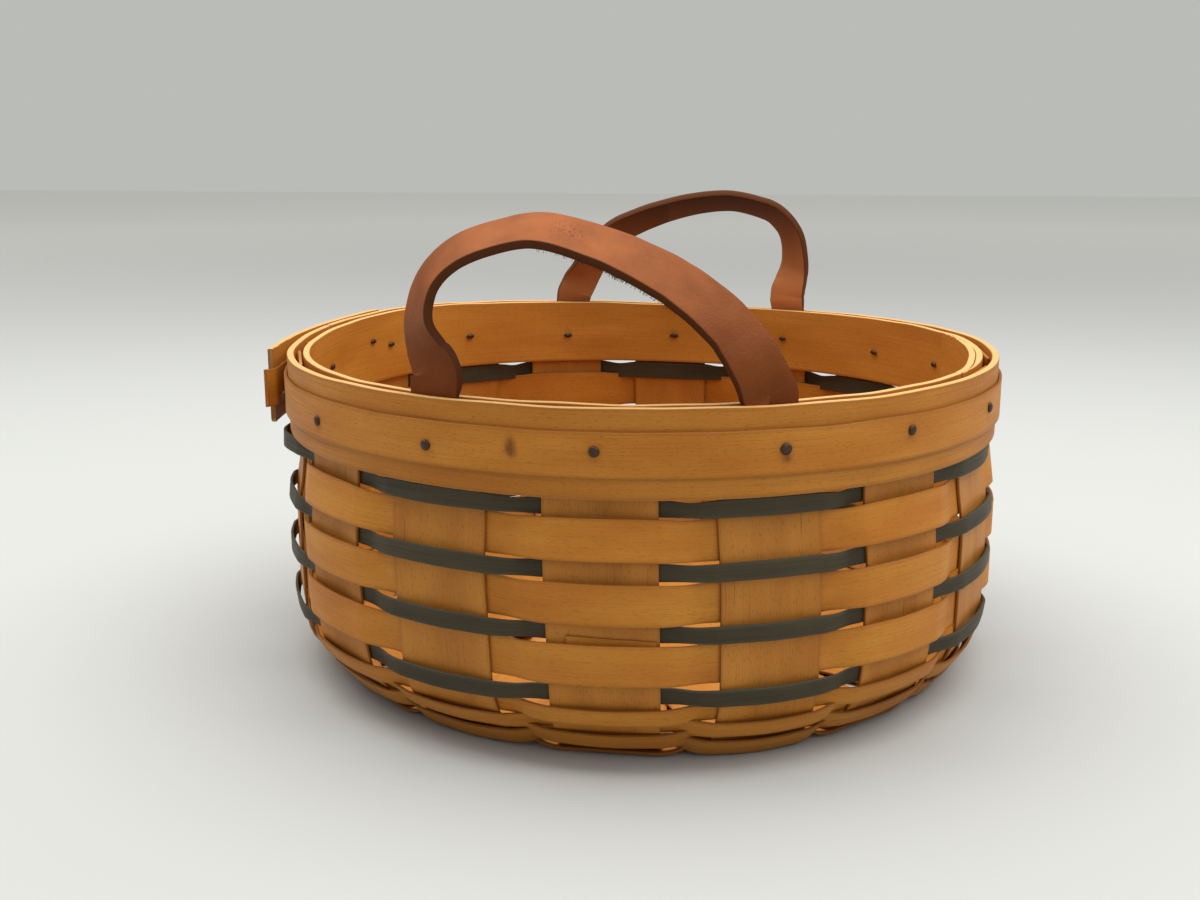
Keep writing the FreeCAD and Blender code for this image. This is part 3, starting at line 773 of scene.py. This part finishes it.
    closeTree(tree, result, inputs["Material"])
    return tree, sockets


def sectionCurve(halfWidth, halfThick, radius):
    data = bpy.data.curves.new("strip section", "CURVE")
    spline = data.splines.new("POLY")
    points = stripSection(halfWidth, halfThick, radius)
    spline.points.add(len(points) - 1)
    for point, (across, layer) in zip(spline.points, points):
        point.co = (layer, across, 0.0, 1.0)
    spline.use_cyclic_u = True
    section = bpy.data.objects.new("strip section", data)
    scene.collection.objects.link(section)
    return section


def treeMesh(name, tree, values, seeds=None):  # runs a tree and keeps the result as a plain mesh
    host = bpy.data.objects.new(name, seeds or bpy.data.meshes.new(name))
    scene.collection.objects.link(host)
    modifier = host.modifiers.new("tree", "NODES")
    modifier.node_group = tree
    for identifier, value in values.items():
        modifier[identifier] = value
    bpy.context.view_layer.update()
    evaluated = host.evaluated_get(bpy.context.evaluated_depsgraph_get())
    mesh = bpy.data.meshes.new_from_object(evaluated)
    host.modifiers.remove(modifier)
    host.data = mesh
    mesh.name = name
    return host


def makeRow(node, slot, material, depth, width, side, seed, tone, form):
    out, height, heading = wallAt(depth)
    outward = Vector((-math.sin(heading), math.cos(heading)))
    middle = Vector((out, height))
    bows = [(Vector(wallAt(depth + shift)[:2]) - middle).dot(outward) for shift in (width / 2, -width / 2)]
    section = sectionCurve(width / 2, halfSplint, rowSettings["edgeRadius"])
    values = {
        "Section": section, "Material": material, "Distance": out, "Height": height,
        "Lean": -math.pi / 2 - heading, "Lift Outside": levelStep + max(0.0, *bows),
        "Lift Inside": levelStep - min(0.0, *bows), "Half Width": width / 2,
        "Uprights": float(wallSettings["uprightCount"]), "Side": side, "Tone": tone,
        "Grain Shift": seed * rowSettings["grainStep"], "Seed": seed * rowSettings["seedStep"],
        "Start": math.radians(uprightPitch) if side > 0 else 0.0,
    }
    values.update(form)
    piece = treeMesh(node + "_strip", weaveTree, {weaveSockets[key]: value for key, value in values.items()})
    bpy.data.objects.remove(section)
    twist(piece.data)
    finishPiece(piece, "basket", slot, node)


weaveTree, weaveSockets = rowTree(rowSettings)
rowTops = {}


def makeRows(s):
    depth = rimTop - hoopBottom + s["firstGap"]
    for index in range(s["wallRows"]):
        green = index % 2 == 0
        width = s["greenWidth"] if green else s["naturalWidth"]
        if index == s["wallRows"] - 1:
            depth += s["lowGap"]
        node = ("green_weaver_%d" if green else "natural_weaver_%d") % (index // 2 + 1)
        slot = "green_stained_splint" if green else "maple_splint"
        material = greenSplint if green else mapleSplint
        form = {"Bulge": s["bulge"], "Pinch": s["pinches"][index], "Left Bulge": s["leftBulges"][index],
                "Back Sink": s["backSinks"][index], "Back Width": s["backWidths"][index]}
        side = -1.0 if green else 1.0
        makeRow(node, slot, material, depth + width / 2, width, side, index + 1.0, s["wallTone"], form)
        rowTops[node] = depth
        depth += width + s["rowGap"]
    room = wallLength - depth + s["baseWidth"] / 2
    count = int(room / (s["baseWidth"] + s["rowGap"]))
    for index in range(count):
        depth += room / count
        form = {"Bulge": s["baseBulges"][index], "Pinch": s["basePinches"][index],
                "Left Sink": s["baseLeftSink"] if index < 3 else 0.0}
        node = "base_weaver_%d" % (index + 1)
        middle = depth - s["baseWidth"] / 2 + s["baseShifts"][index]
        side = 1.0 if index % 2 == 0 else -1.0
        makeRow(node, "maple_splint", mapleSplint, middle, s["baseStrips"][index], side, index + 21.0,
                s["baseShadeTones"][index], form)


makeRows(rowSettings)

# Lapped end of the lowest natural weaver, seen above it on the front upright
lapSettings = {
    "first": -0.0097,
    "last": 0.0145,
    "width": 0.005,
    "thick": 0.0006,
    "rises": (0.0019, 0.0010),
    "riseWander": 0.0001,
    "gap": 0.00005,
    "steps": 24,
    "edgeRadius": 0.0001,
    "grainShift": 6.3,
    "tone": -0.02,
}


def makeLap(s):
    stations = []
    for i in range(s["steps"] + 1):
        share = i / s["steps"]
        rise = s["rises"][0] + (s["rises"][1] - s["rises"][0]) * share
        rise += s["riseWander"] * wander(share, 5, 0.15)
        out, height, heading = wallAt(rowTops["natural_weaver_3"] - rise + s["width"] / 2)
        along = s["first"] + (s["last"] - s["first"]) * share
        point = place(0.0, out + halfSplint + s["gap"] + s["thick"] / 2, height, along)
        stations.append((point, Vector((0, 0, 1)), Vector((0, -1, 0)), s["width"] / 2, s["thick"] / 2))
    lap = stripMesh("natural_weaver_3_lap", stations, mapleSplint, s["edgeRadius"], s["grainShift"],
                    s["tone"])
    twist(lap.data)
    finishPiece(lap, "basket", "maple_splint")


makeLap(lapSettings)
print("weavers made")

# Rim: two hoops, the tacked band, the splice and the tacks
rimSettings = {
    "outerThick": 0.0023,
    "innerThick": 0.0022,
    "bandThick": 0.0010,
    "spliceThick": 0.0023,
    "seat": 0.0002,
    "jointAngle": -97.0,
    "jointGap": 0.15,          # degrees left open on each side of the joint
    "lapStart": 64.5,
    "lapEnd": 109.0,
    "lapTaper": 17.0,          # degrees over which a lapped end is pared down
    "lapTip": 0.0004,
    "bandStart": -84.0,
    "bandLooseEnd": -71.8,
    "bandCurl": 0.0028,        # how far the loose end turns out past the splice's end
    "spliceBack": -115.0,
    "spliceHeld": -106.0,
    "spliceFront": -73.5,
    "spliceSpring": 0.0036,
    "spliceCorner": 0.0012,
    "spliceTip": 0.0017,
    "spliceTaper": 12.0,
    "cornerShare": 0.98,       # just short of a full quarter
    "tipRun": 2.0,
    "curlStart": 0.2,
    # painted shade: the splice is painted darker towards its sprung front end
    "endShade": 0.4,
    "edgeRadius": 0.0004,
    "bandRadius": 0.00025,
    "angleStep": 0.5,
    "spans": 16,
    "stainRadius": 0.0019,
    "stainAmount": 0.25,
    "stainFall": 0.6,
    "fineStep": 0.1,
    "bandMarks": ((-10.1, 0.0932), (-10.0, 0.0920), (25.4, 0.0906)),
    "markRadius": 0.0012,
    "markAmount": 3.0,
    "topWander": 0.0003,
    "innerWander": 0.0005,
    # painted light: the inner hoop, inside the basket, is painted a little lighter
    "innerPaintedLight": 0.06,
    "spliceTone": -0.03,
    "bandTone": 0.02,
}
bandOutside = rimRadius + rimSettings["seat"] + rimSettings["bandThick"]
innerOutside = uprightRadius - halfSplint - rimSettings["seat"]
innerInside = innerOutside - rimSettings["innerThick"]


def tackSpots():  # middles of the heads and points of the tacks, read from their node
    heads, points = {}, {}
    for vertex in frame["nodes"]["rim_tacks"].data.vertices:
        co = vertex.co
        angle = math.degrees(math.atan2(co.x, -co.y))
        out = math.hypot(co.x, co.y)
        groups = heads if out > rimRadius + rimSettings["seat"] else points if out < innerInside else None
        if groups is None:
            continue
        key = next((k for k in groups if abs(k - angle) < 2.0), angle)
        groups.setdefault(key, []).append(co)
    middle = lambda group: sum(group, Vector()) / len(group)
    return [middle(group) for group in heads.values()], [middle(group) for group in points.values()]


tackHeads, tackPoints = tackSpots()


def stainNear(spots, radius, fall, rise=1.0):  # dark halo round the spots, drawn out downwards
    def amount(point):
        total = 0.0
        for spot in spots:
            gap = point - spot
            if abs(gap.x) + abs(gap.y) + abs(gap.z) < radius * 6:
                side = Vector((gap.x, gap.y, gap.z * (fall if gap.z < 0 else rise))).length
                total += math.exp(-(side / radius) ** 2)
        return min(1.0, total) * rimSettings["stainAmount"]
    return amount


def hoopStations(angles, middleRadius, thickness, low, high):
    stations = []
    for angle in angles:
        thick = thickness(angle) if callable(thickness) else thickness
        bottom = low(angle) if callable(low) else low
        top = high + wander(angle, 9.0 + thick * 1000, 9.0) * rimSettings["topWander"]
        near = [place(a, middleRadius(a)) for a in (angle - 0.05, angle + 0.05)]
        ahead = near[1] - near[0]
        outward = ahead.cross(Vector((0, 0, 1))).normalized()
        point = place(angle, middleRadius(angle), (bottom + top) / 2)
        stations.append((point, Vector((0, 0, 1)), outward, (top - bottom) / 2, thick / 2))
    return stations


def spread(first, last, step):
    count = math.ceil((last - first) / step)
    return [first + (last - first) * i / count for i in range(count + 1)]


def makeRim(s):
    step = s["angleStep"]
    seat = s["seat"]
    # outer hoop, open at its joint
    angles = spread(s["jointAngle"] + s["jointGap"], s["jointAngle"] + 360 - s["jointGap"], step)
    outerMiddle = lambda a: rimRadius - s["outerThick"] / 2
    stations = hoopStations(angles, outerMiddle, s["outerThick"], hoopBottom, rimTop)
    outer = stripMesh("outer_hoop_wood", stations, hoopMaple, s["edgeRadius"], 0.4, 0.0)
    finishPiece(outer, "basket", "bent_hoop_wood", "outer_hoop")
    # inner hoop, once round and then over its own pared start
    pared = s["innerThick"] - s["lapTip"]
    under = lambda a: s["lapTip"] + pared * smooth((a - s["lapStart"]) / s["lapTaper"])
    lapped = lambda a: under(a - 360) if a > s["lapStart"] + 360 else 0.0
    endPare = lambda a: smooth((s["lapEnd"] + 360 - a) / s["lapTaper"])
    thick = lambda a: min(under(a), s["lapTip"] + pared * endPare(a))
    angles = spread(s["lapStart"], s["lapEnd"] + 360, step)
    drift = lambda a: s["innerWander"] * (0.5 + 0.5 * wander(a, 6.0, 25.0))
    innerMiddle = lambda a: innerOutside - lapped(a) - thick(a) / 2 - drift(a)
    stations = hoopStations(angles, innerMiddle, thick, hoopBottom, rimTop)
    rust = stainNear(tackPoints, s["stainRadius"] * 0.6, s["stainFall"])
    inner = stripMesh("inner_hoop_wood", stations, hoopMaple, s["edgeRadius"], 1.7, s["innerPaintedLight"],
                      s["spans"], rust)
    finishPiece(inner, "basket", "bent_hoop_wood", "inner_hoop")
    # splice, sprung away at its front end, and the band, whose loose end follows it
    free = s["spliceFront"] - s["spliceHeld"]
    springAt = lambda a: s["spliceSpring"] * (max(0.0, a - s["spliceHeld"]) / free) ** 2
    spliceInside = lambda a: bandOutside + seat + springAt(a)
    cornerAt = lambda a: max(0.0, s["spliceCorner"] - math.radians(s["spliceFront"] - a) * rimRadius)
    rounded = lambda a: math.sqrt(s["spliceCorner"] ** 2 - cornerAt(a) ** 2 * s["cornerShare"])
    lowEdge = lambda a: hoopBottom + s["spliceCorner"] - rounded(a)
    tipStart = s["spliceFront"] - s["tipRun"]
    angles = spread(s["spliceBack"], tipStart, step)
    angles += spread(tipStart, s["spliceFront"], s["fineStep"])[1:]
    full = lambda a: smooth((s["spliceFront"] - a) / s["spliceTaper"])
    thick = lambda a: s["spliceTip"] + (s["spliceThick"] - s["spliceTip"]) * full(a)
    stations = hoopStations(angles, lambda a: spliceInside(a) + thick(a) / 2, thick, lowEdge, rimTop)
    halo = stainNear(tackHeads, s["stainRadius"], s["stainFall"])
    endSpot = place(s["spliceFront"], 1.0)
    # rust halos round the tack heads, and painted shade at the splice's sprung end
    haloAndEndShade = lambda p: max(halo(p), s["endShade"] * smooth(math.degrees(p.xy.angle(endSpot.xy)), 0.6, 0.0))
    splice = stripMesh("hoop_splice_wood", stations, hoopMaple, s["edgeRadius"], 2.9, s["spliceTone"],
                       s["spans"], haloAndEndShade)
    finishPiece(splice, "basket", "bent_hoop_wood", "hoop_splice")
    curlRun = s["bandLooseEnd"] - s["spliceFront"] - s["curlStart"]
    curl = lambda a: s["bandCurl"] * smooth((a - s["spliceFront"] - s["curlStart"]) / curlRun)
    loose = lambda a: spliceInside(a - 360) - seat - s["bandThick"] / 2 + curl(a - 360)
    bandMiddle = lambda a: loose(a) if a > s["spliceHeld"] + 360 else bandOutside - s["bandThick"] / 2
    angles = spread(s["bandStart"], s["spliceFront"] + 359, step)
    angles += spread(s["spliceFront"] + 359, s["bandLooseEnd"] + 360, s["fineStep"])[1:]
    stations = hoopStations(angles, bandMiddle, s["bandThick"], bandLow.z, bandHigh.z)
    marks = [place(angle, bandOutside, height) for angle, height in s["bandMarks"]]
    mark = stainNear(marks, s["markRadius"], 1.0, 0.4)
    band = stripMesh("tack_band_wood", stations, bandMaple, s["bandRadius"], 4.1, s["bandTone"], s["spans"],
                     lambda p: max(halo(p), mark(p) * s["markAmount"]))
    finishPiece(band, "basket", "bent_hoop_wood", "tack_band")


makeRim(rimSettings)

tackSettings = {
    "headRadius": 0.0015,
    "headHeight": 0.0007,
    "headVary": (0.9, 1.12),
    "pointSize": (0.0017, 0.0009, 0.0006),
    "dent": 0.0003,
    "dentScale": 900.0,
    "seed": 5,
    "pointDrop": 0.0028,   # the points at the far side come through a little lower
    "dropAngle": 194.0,
    "dropSpread": 15.0,
}


def tackTree(s):
    kinds = {"Material": "Material", "Dent": "Float", "Seed": "Int"}
    tree, sockets = newTree("driven tacks", kinds, True)
    inputs = addNode(tree, "NodeGroupInput").outputs
    spot = addNode(tree, "ShaderNodeSeparateXYZ", {0: addNode(tree, "GeometryNodeInputPosition")})
    outward = addNode(tree, "ShaderNodeCombineXYZ", {0: spot.outputs[0], 1: spot.outputs[1]})
    facing = addNode(tree, "FunctionNodeAlignRotationToVector", {"Vector": outward}, axis="Z")
    upright = addNode(tree, "FunctionNodeAlignRotationToVector",
                      {"Rotation": facing, "Vector": (0.0, 0.0, 1.0)}, axis="Y", pivot_axis="Z")
    size = addNode(tree, "GeometryNodeInputNamedAttribute", {"Name": "size"}, data_type="FLOAT_VECTOR")
    vary = addNode(tree, "FunctionNodeRandomValue",
                   {2: s["headVary"][0], 3: s["headVary"][1], "Seed": inputs["Seed"]}, data_type="FLOAT")
    scaled = addNode(tree, "ShaderNodeVectorMath",
                     {0: size.outputs[0], "Scale": vary.outputs[1]}, operation="SCALE")
    dome = addNode(tree, "GeometryNodeMeshUVSphere", {"Segments": 18, "Rings": 10, "Radius": 1.0})
    heads = addNode(tree, "GeometryNodeInstanceOnPoints",
                    {"Points": inputs["Geometry"], "Instance": dome.outputs["Mesh"],
                     "Rotation": upright, "Scale": scaled})
    whole = addNode(tree, "GeometryNodeRealizeInstances", {"Geometry": heads})
    drift = addNode(tree, "ShaderNodeTexNoise", {"Scale": s["dentScale"], "Detail": 1.0})
    centred = addNode(tree, "ShaderNodeVectorMath",
                      {0: drift.outputs["Color"], 1: (0.5, 0.5, 0.5)}, operation="SUBTRACT")
    push = addNode(tree, "ShaderNodeVectorMath", {0: centred, "Scale": inputs["Dent"]}, operation="SCALE")
    dented = addNode(tree, "GeometryNodeSetPosition", {"Geometry": whole, "Offset": push})
    closeTree(tree, dented, inputs["Material"])
    return tree, sockets


def makeTacks(s):
    seeds = bpy.data.meshes.new("tack spots")
    for spot in tackPoints:
        aside = math.degrees(math.atan2(spot.x, -spot.y)) % 360 - s["dropAngle"]
        spot.z -= s["pointDrop"] * math.exp(-(aside / s["dropSpread"]) ** 2)
    seeds.from_pydata([tuple(spot) for spot in tackHeads + tackPoints], [], [])
    sizes = [(s["headRadius"], s["headRadius"], s["headHeight"])] * len(tackHeads)
    sizes += [s["pointSize"]] * len(tackPoints)
    spotSizes = seeds.attributes.new("size", "FLOAT_VECTOR", "POINT")
    spotSizes.data.foreach_set("vector", [c for size in sizes for c in size])
    tree, sockets = tackTree(s)
    values = {sockets["Material"]: tackSteel, sockets["Dent"]: s["dent"], sockets["Seed"]: s["seed"]}
    tacks = treeMesh("rim_tacks_steel", tree, values, seeds)
    finishPiece(tacks, "basket", "tack_steel", "rim_tacks")


makeTacks(tackSettings)
print("rim made, tacks:", len(tackHeads))

# Leather strap handles, each one strap with its pared ends behind the outer hoop
strapSettings = {
    "width": 0.0162,
    "thick": 0.0027,
    "endThick": 0.0009,
    "endLength": 0.021,
    "neckHeight": 0.0045,
    "rise": 0.045,
    "leanShare": 0.1,
    "leanFrom": 0.0062,
    "edgeRadius": 0.0004,
    "stepsPerSpan": 12,
    "edgeWander": 0.00025,
    "rootWearAndPaintedLight": (0.62, 0.66),   # left and right root: part handling wear, part painted shade on the legs
    "rootHeight": 0.05,
    "rootLow": 0.003,
    "blendHalf": 0.0046,
    "edgeRim": 0.0004,
    "spans": 12,
    "endTurn": 0.75,
    "neckDrop": 0.002,
    "wanderStep": 0.0014,
    "wanderPeriod": 0.008,
    "grainStep": 0.9,
    "scuffSpot": (-0.0073, -0.1045, 0.1508),
    "scuffRadius": 0.0045,
    # middle line from the left root to the right: across in half spans, up in rises, turn in right angles
    "shape": (
        (-1.0, 0.0, 0.75), (-1.0, 0.15, 0.75), (-1.06, 0.28, 0.58), (-1.11, 0.46, 0.4), (-1.05, 0.69, 0.32),
        (-0.88, 0.86, 0.29), (-0.62, 0.96, 0.27), (-0.34, 1.0, 0.28), (0.02, 0.91, 0.32), (0.27, 0.81, 0.37),
        (0.5, 0.69, 0.42), (0.73, 0.52, 0.47), (0.88, 0.36, 0.54), (0.985, 0.2, 0.62), (1.04, 0.07, 0.7),
        (1.055, 0.0, 0.74)),
}
rearStrapSettings = dict(
    strapSettings, width=0.0144, rootWearAndPaintedLight=(0.62, 0.98), rootHeight=0.052, scuffRadius=0.0,
    shape=(
        (-1.12, 0.0, 0.75), (-1.12, 0.15, 0.75), (-1.15, 0.28, 0.62), (-1.18, 0.44, 0.46),
        (-1.14, 0.69, 0.37), (-1.0, 0.87, 0.33), (-0.82, 0.95, 0.32), (-0.56, 1.0, 0.32),
        (-0.25, 0.97, 0.34), (0.05, 0.89, 0.37), (0.3, 0.79, 0.41), (0.5, 0.68, 0.44), (0.67, 0.5, 0.48),
        (0.79, 0.32, 0.57), (0.89, 0.15, 0.75), (0.93, 0.0, 0.75)))
swing = Vector(joints["front_handle_swing"]["pos_m"])
handleTurn = math.radians(uprightPitch)
strapHalfSpan = -swing.y * math.tan(handleTurn)


def curveAt(knots, span, share):  # smooth line through knots, each a tuple of numbers
    picked = [knots[min(max(span + i, 0), len(knots) - 1)] for i in (-1, 0, 1, 2)]
    return [through(*values, share) for values in zip(*picked)]


def strapStations(s, seed):
    tails = [(s["shape"][i][0], -s["endLength"] / s["rise"], s["endTurn"]) for i in (0, -1)]
    knots = tails[:1] + list(s["shape"]) + tails[1:]
    line = []
    for span in range(len(knots) - 1):
        line += [curveAt(knots, span, i / s["stepsPerSpan"]) for i in range(s["stepsPerSpan"])]
    line.append(list(knots[-1]))
    middles = []
    for across, up, turn in line:
        height = up * s["rise"]
        lean = max(0.0, height - s["leanFrom"]) * s["leanShare"]
        inset = (abs(across) - 1) * strapHalfSpan * math.tan(handleTurn)
        lean += inset * smooth(up, 0.4, 0.15)  # near its roots the strap follows the hoop
        middles.append(Vector((across * strapHalfSpan, swing.y + lean, rimTop + height)))
    stations = []
    for i, (point, (across, up, turn)) in enumerate(zip(middles, line)):
        tangent = (middles[min(i + 1, len(middles) - 1)] - middles[max(i - 1, 0)]).normalized()
        archSide = Vector((-tangent.z, 0.0, tangent.x)).normalized()
        angle = math.radians(90 * turn)
        normal = archSide * math.cos(angle) + Vector((0.0, -1.0, 0.0)) * math.sin(angle)
        widthways = tangent.cross(normal).normalized()
        normal = widthways.cross(tangent).normalized()
        full = smooth(point.z, rimTop - s["neckDrop"], rimTop + s["neckHeight"])
        thick = s["endThick"] + (s["thick"] - s["endThick"]) * full
        half = s["width"] / 2 + wander(i * s["wanderStep"], seed, s["wanderPeriod"]) * s["edgeWander"]
        stations.append((point + normal * (s["thick"] - thick) / 2, widthways, normal, half, thick / 2))
    return stations


def makeStrap(s, name, turn, seed, material):
    stations = strapStations(s, seed)
    # root colour fading up the legs: painted shade with handling wear in front, painted sheen with worn nap
    # behind
    dark = lambda p: s["rootWearAndPaintedLight"][p.x > 0] * smooth(p.z, rimTop + s["rootHeight"], rimTop + s["rootLow"])
    spot = Vector(s["scuffSpot"])
    rubbed = lambda p: math.exp(-((p - spot).length / s["scuffRadius"]) ** 2) if s["scuffRadius"] else 0.0
    if turn:
        turned = lambda v: Vector((-v.x, -v.y, v.z))
        stations = [(turned(p), turned(w), turned(n), half, thick) for p, w, n, half, thick in stations]
    strap = stripMesh(name + "_leather", stations, material, s["edgeRadius"], seed * s["grainStep"], 0.0,
                      s["spans"], dark, s["edgeRim"], rubbed)
    warp(strap.data)
    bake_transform(strap)
    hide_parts(name + "_strap", name + "_ends")
    return stations


frontStations = makeStrap(strapSettings, "front_handle", False, 1.0, leather)
makeStrap(rearStrapSettings, "rear_handle", True, 2.0, rearLeather)

# Nap that hangs from the cut edge of the front strap
napSettings = {
    "firstAcross": -0.016,
    "lastAcross": 0.026,
    "fibres": 150,
    "length": (0.00035, 0.0011),
    "thick": 0.06,      # share of the length
    "rimClear": 0.01,
    "depthFrom": -0.9,
    "depthRun": 0.35,
    "inset": 0.998,
    "lean": 0.5,
    "spread": 0.7,
    "seed": 4,
}


def napTree(s):
    kinds = {"Material": "Material", "Shortest": "Float", "Longest": "Float", "Spread": "Float",
             "Seed": "Int"}
    tree, sockets = newTree("leather nap", kinds, True)
    inputs = addNode(tree, "NodeGroupInput").outputs
    bend = addNode(tree, "GeometryNodeCurveQuadraticBezier",
                   {"Resolution": 4, "Start": (0.0, 0.0, 0.0), "Middle": (0.3, 0.0, 0.5),
                    "End": (0.1, 0.2, 1.0)})
    round5 = addNode(tree, "GeometryNodeCurvePrimitiveCircle", {"Resolution": 5, "Radius": s["thick"]})
    hair = addNode(tree, "GeometryNodeCurveToMesh",
                   {"Curve": bend, "Profile Curve": round5.outputs["Curve"], "Fill Caps": True})
    aim = addNode(tree, "GeometryNodeInputNamedAttribute", {"Name": "aim"}, data_type="FLOAT_VECTOR")
    stray = addNode(tree, "FunctionNodeRandomValue",
                    {"Min": (-1.0, -1.0, -1.0), "Max": (1.0, 1.0, 1.0), "Seed": inputs["Seed"]},
                    data_type="FLOAT_VECTOR")
    spread = addNode(tree, "ShaderNodeVectorMath",
                     {0: stray.outputs[0], "Scale": inputs["Spread"]}, operation="SCALE")
    heading = addNode(tree, "ShaderNodeVectorMath", {0: aim.outputs[0], 1: spread}, operation="ADD")
    turned = addNode(tree, "FunctionNodeAlignRotationToVector", {"Vector": heading}, axis="Z")
    length = addNode(tree, "FunctionNodeRandomValue",
                     {2: inputs["Shortest"], 3: inputs["Longest"], "Seed": inputs["Seed"]}, data_type="FLOAT")
    hairs = addNode(tree, "GeometryNodeInstanceOnPoints",
                    {"Points": inputs["Geometry"], "Instance": hair, "Rotation": turned,
                     "Scale": length.outputs[1]})
    whole = addNode(tree, "GeometryNodeRealizeInstances", {"Geometry": hairs})
    dark = addNode(tree, "GeometryNodeStoreNamedAttribute", {"Geometry": whole, "Name": "edge", "Value": 1.0})
    closeTree(tree, dark, inputs["Material"])
    return tree, sockets


def makeNap(s, stations):
    held = [i for i, station in enumerate(stations)
            if s["firstAcross"] < station[0].x < s["lastAcross"] and station[0].z > rimTop + s["rimClear"]]
    roots, aims = [], []
    for index in range(s["fibres"]):
        spot = (0.5 + 0.5 * wander(index * 1.37, 2.0, 1.0)) if index % 2 else (index + 0.5) / s["fibres"]
        at = held[0] + spot * (len(held) - 1.001)
        one, other = stations[math.floor(at)], stations[math.floor(at) + 1]
        share = at - math.floor(at)
        point, across, outward, half, thick = (a + (b - a) * share for a, b in zip(one, other))
        low = -1.0 if across.z > 0 else 1.0
        depth = s["depthFrom"] + s["depthRun"] * (0.5 + 0.5 * wander(index * 2.11, 5.0, 1.0))
        roots.append(point + across * half * low * s["inset"] + outward * thick * depth)
        aims.append(across * low * s["lean"] - outward)
    seeds = bpy.data.meshes.new("nap roots")
    seeds.from_pydata([tuple(root) for root in roots], [], [])
    headings = seeds.attributes.new("aim", "FLOAT_VECTOR", "POINT")
    headings.data.foreach_set("vector", [c for aim in aims for c in aim])
    tree, sockets = napTree(s)
    values = {"Material": leather, "Shortest": s["length"][0], "Longest": s["length"][1],
              "Spread": s["spread"], "Seed": s["seed"]}
    nap = treeMesh("front_handle_nap", tree, {sockets[key]: value for key, value in values.items()}, seeds)
    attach(nap, "front_handle")


makeNap(napSettings, frontStations)
print("straps made")
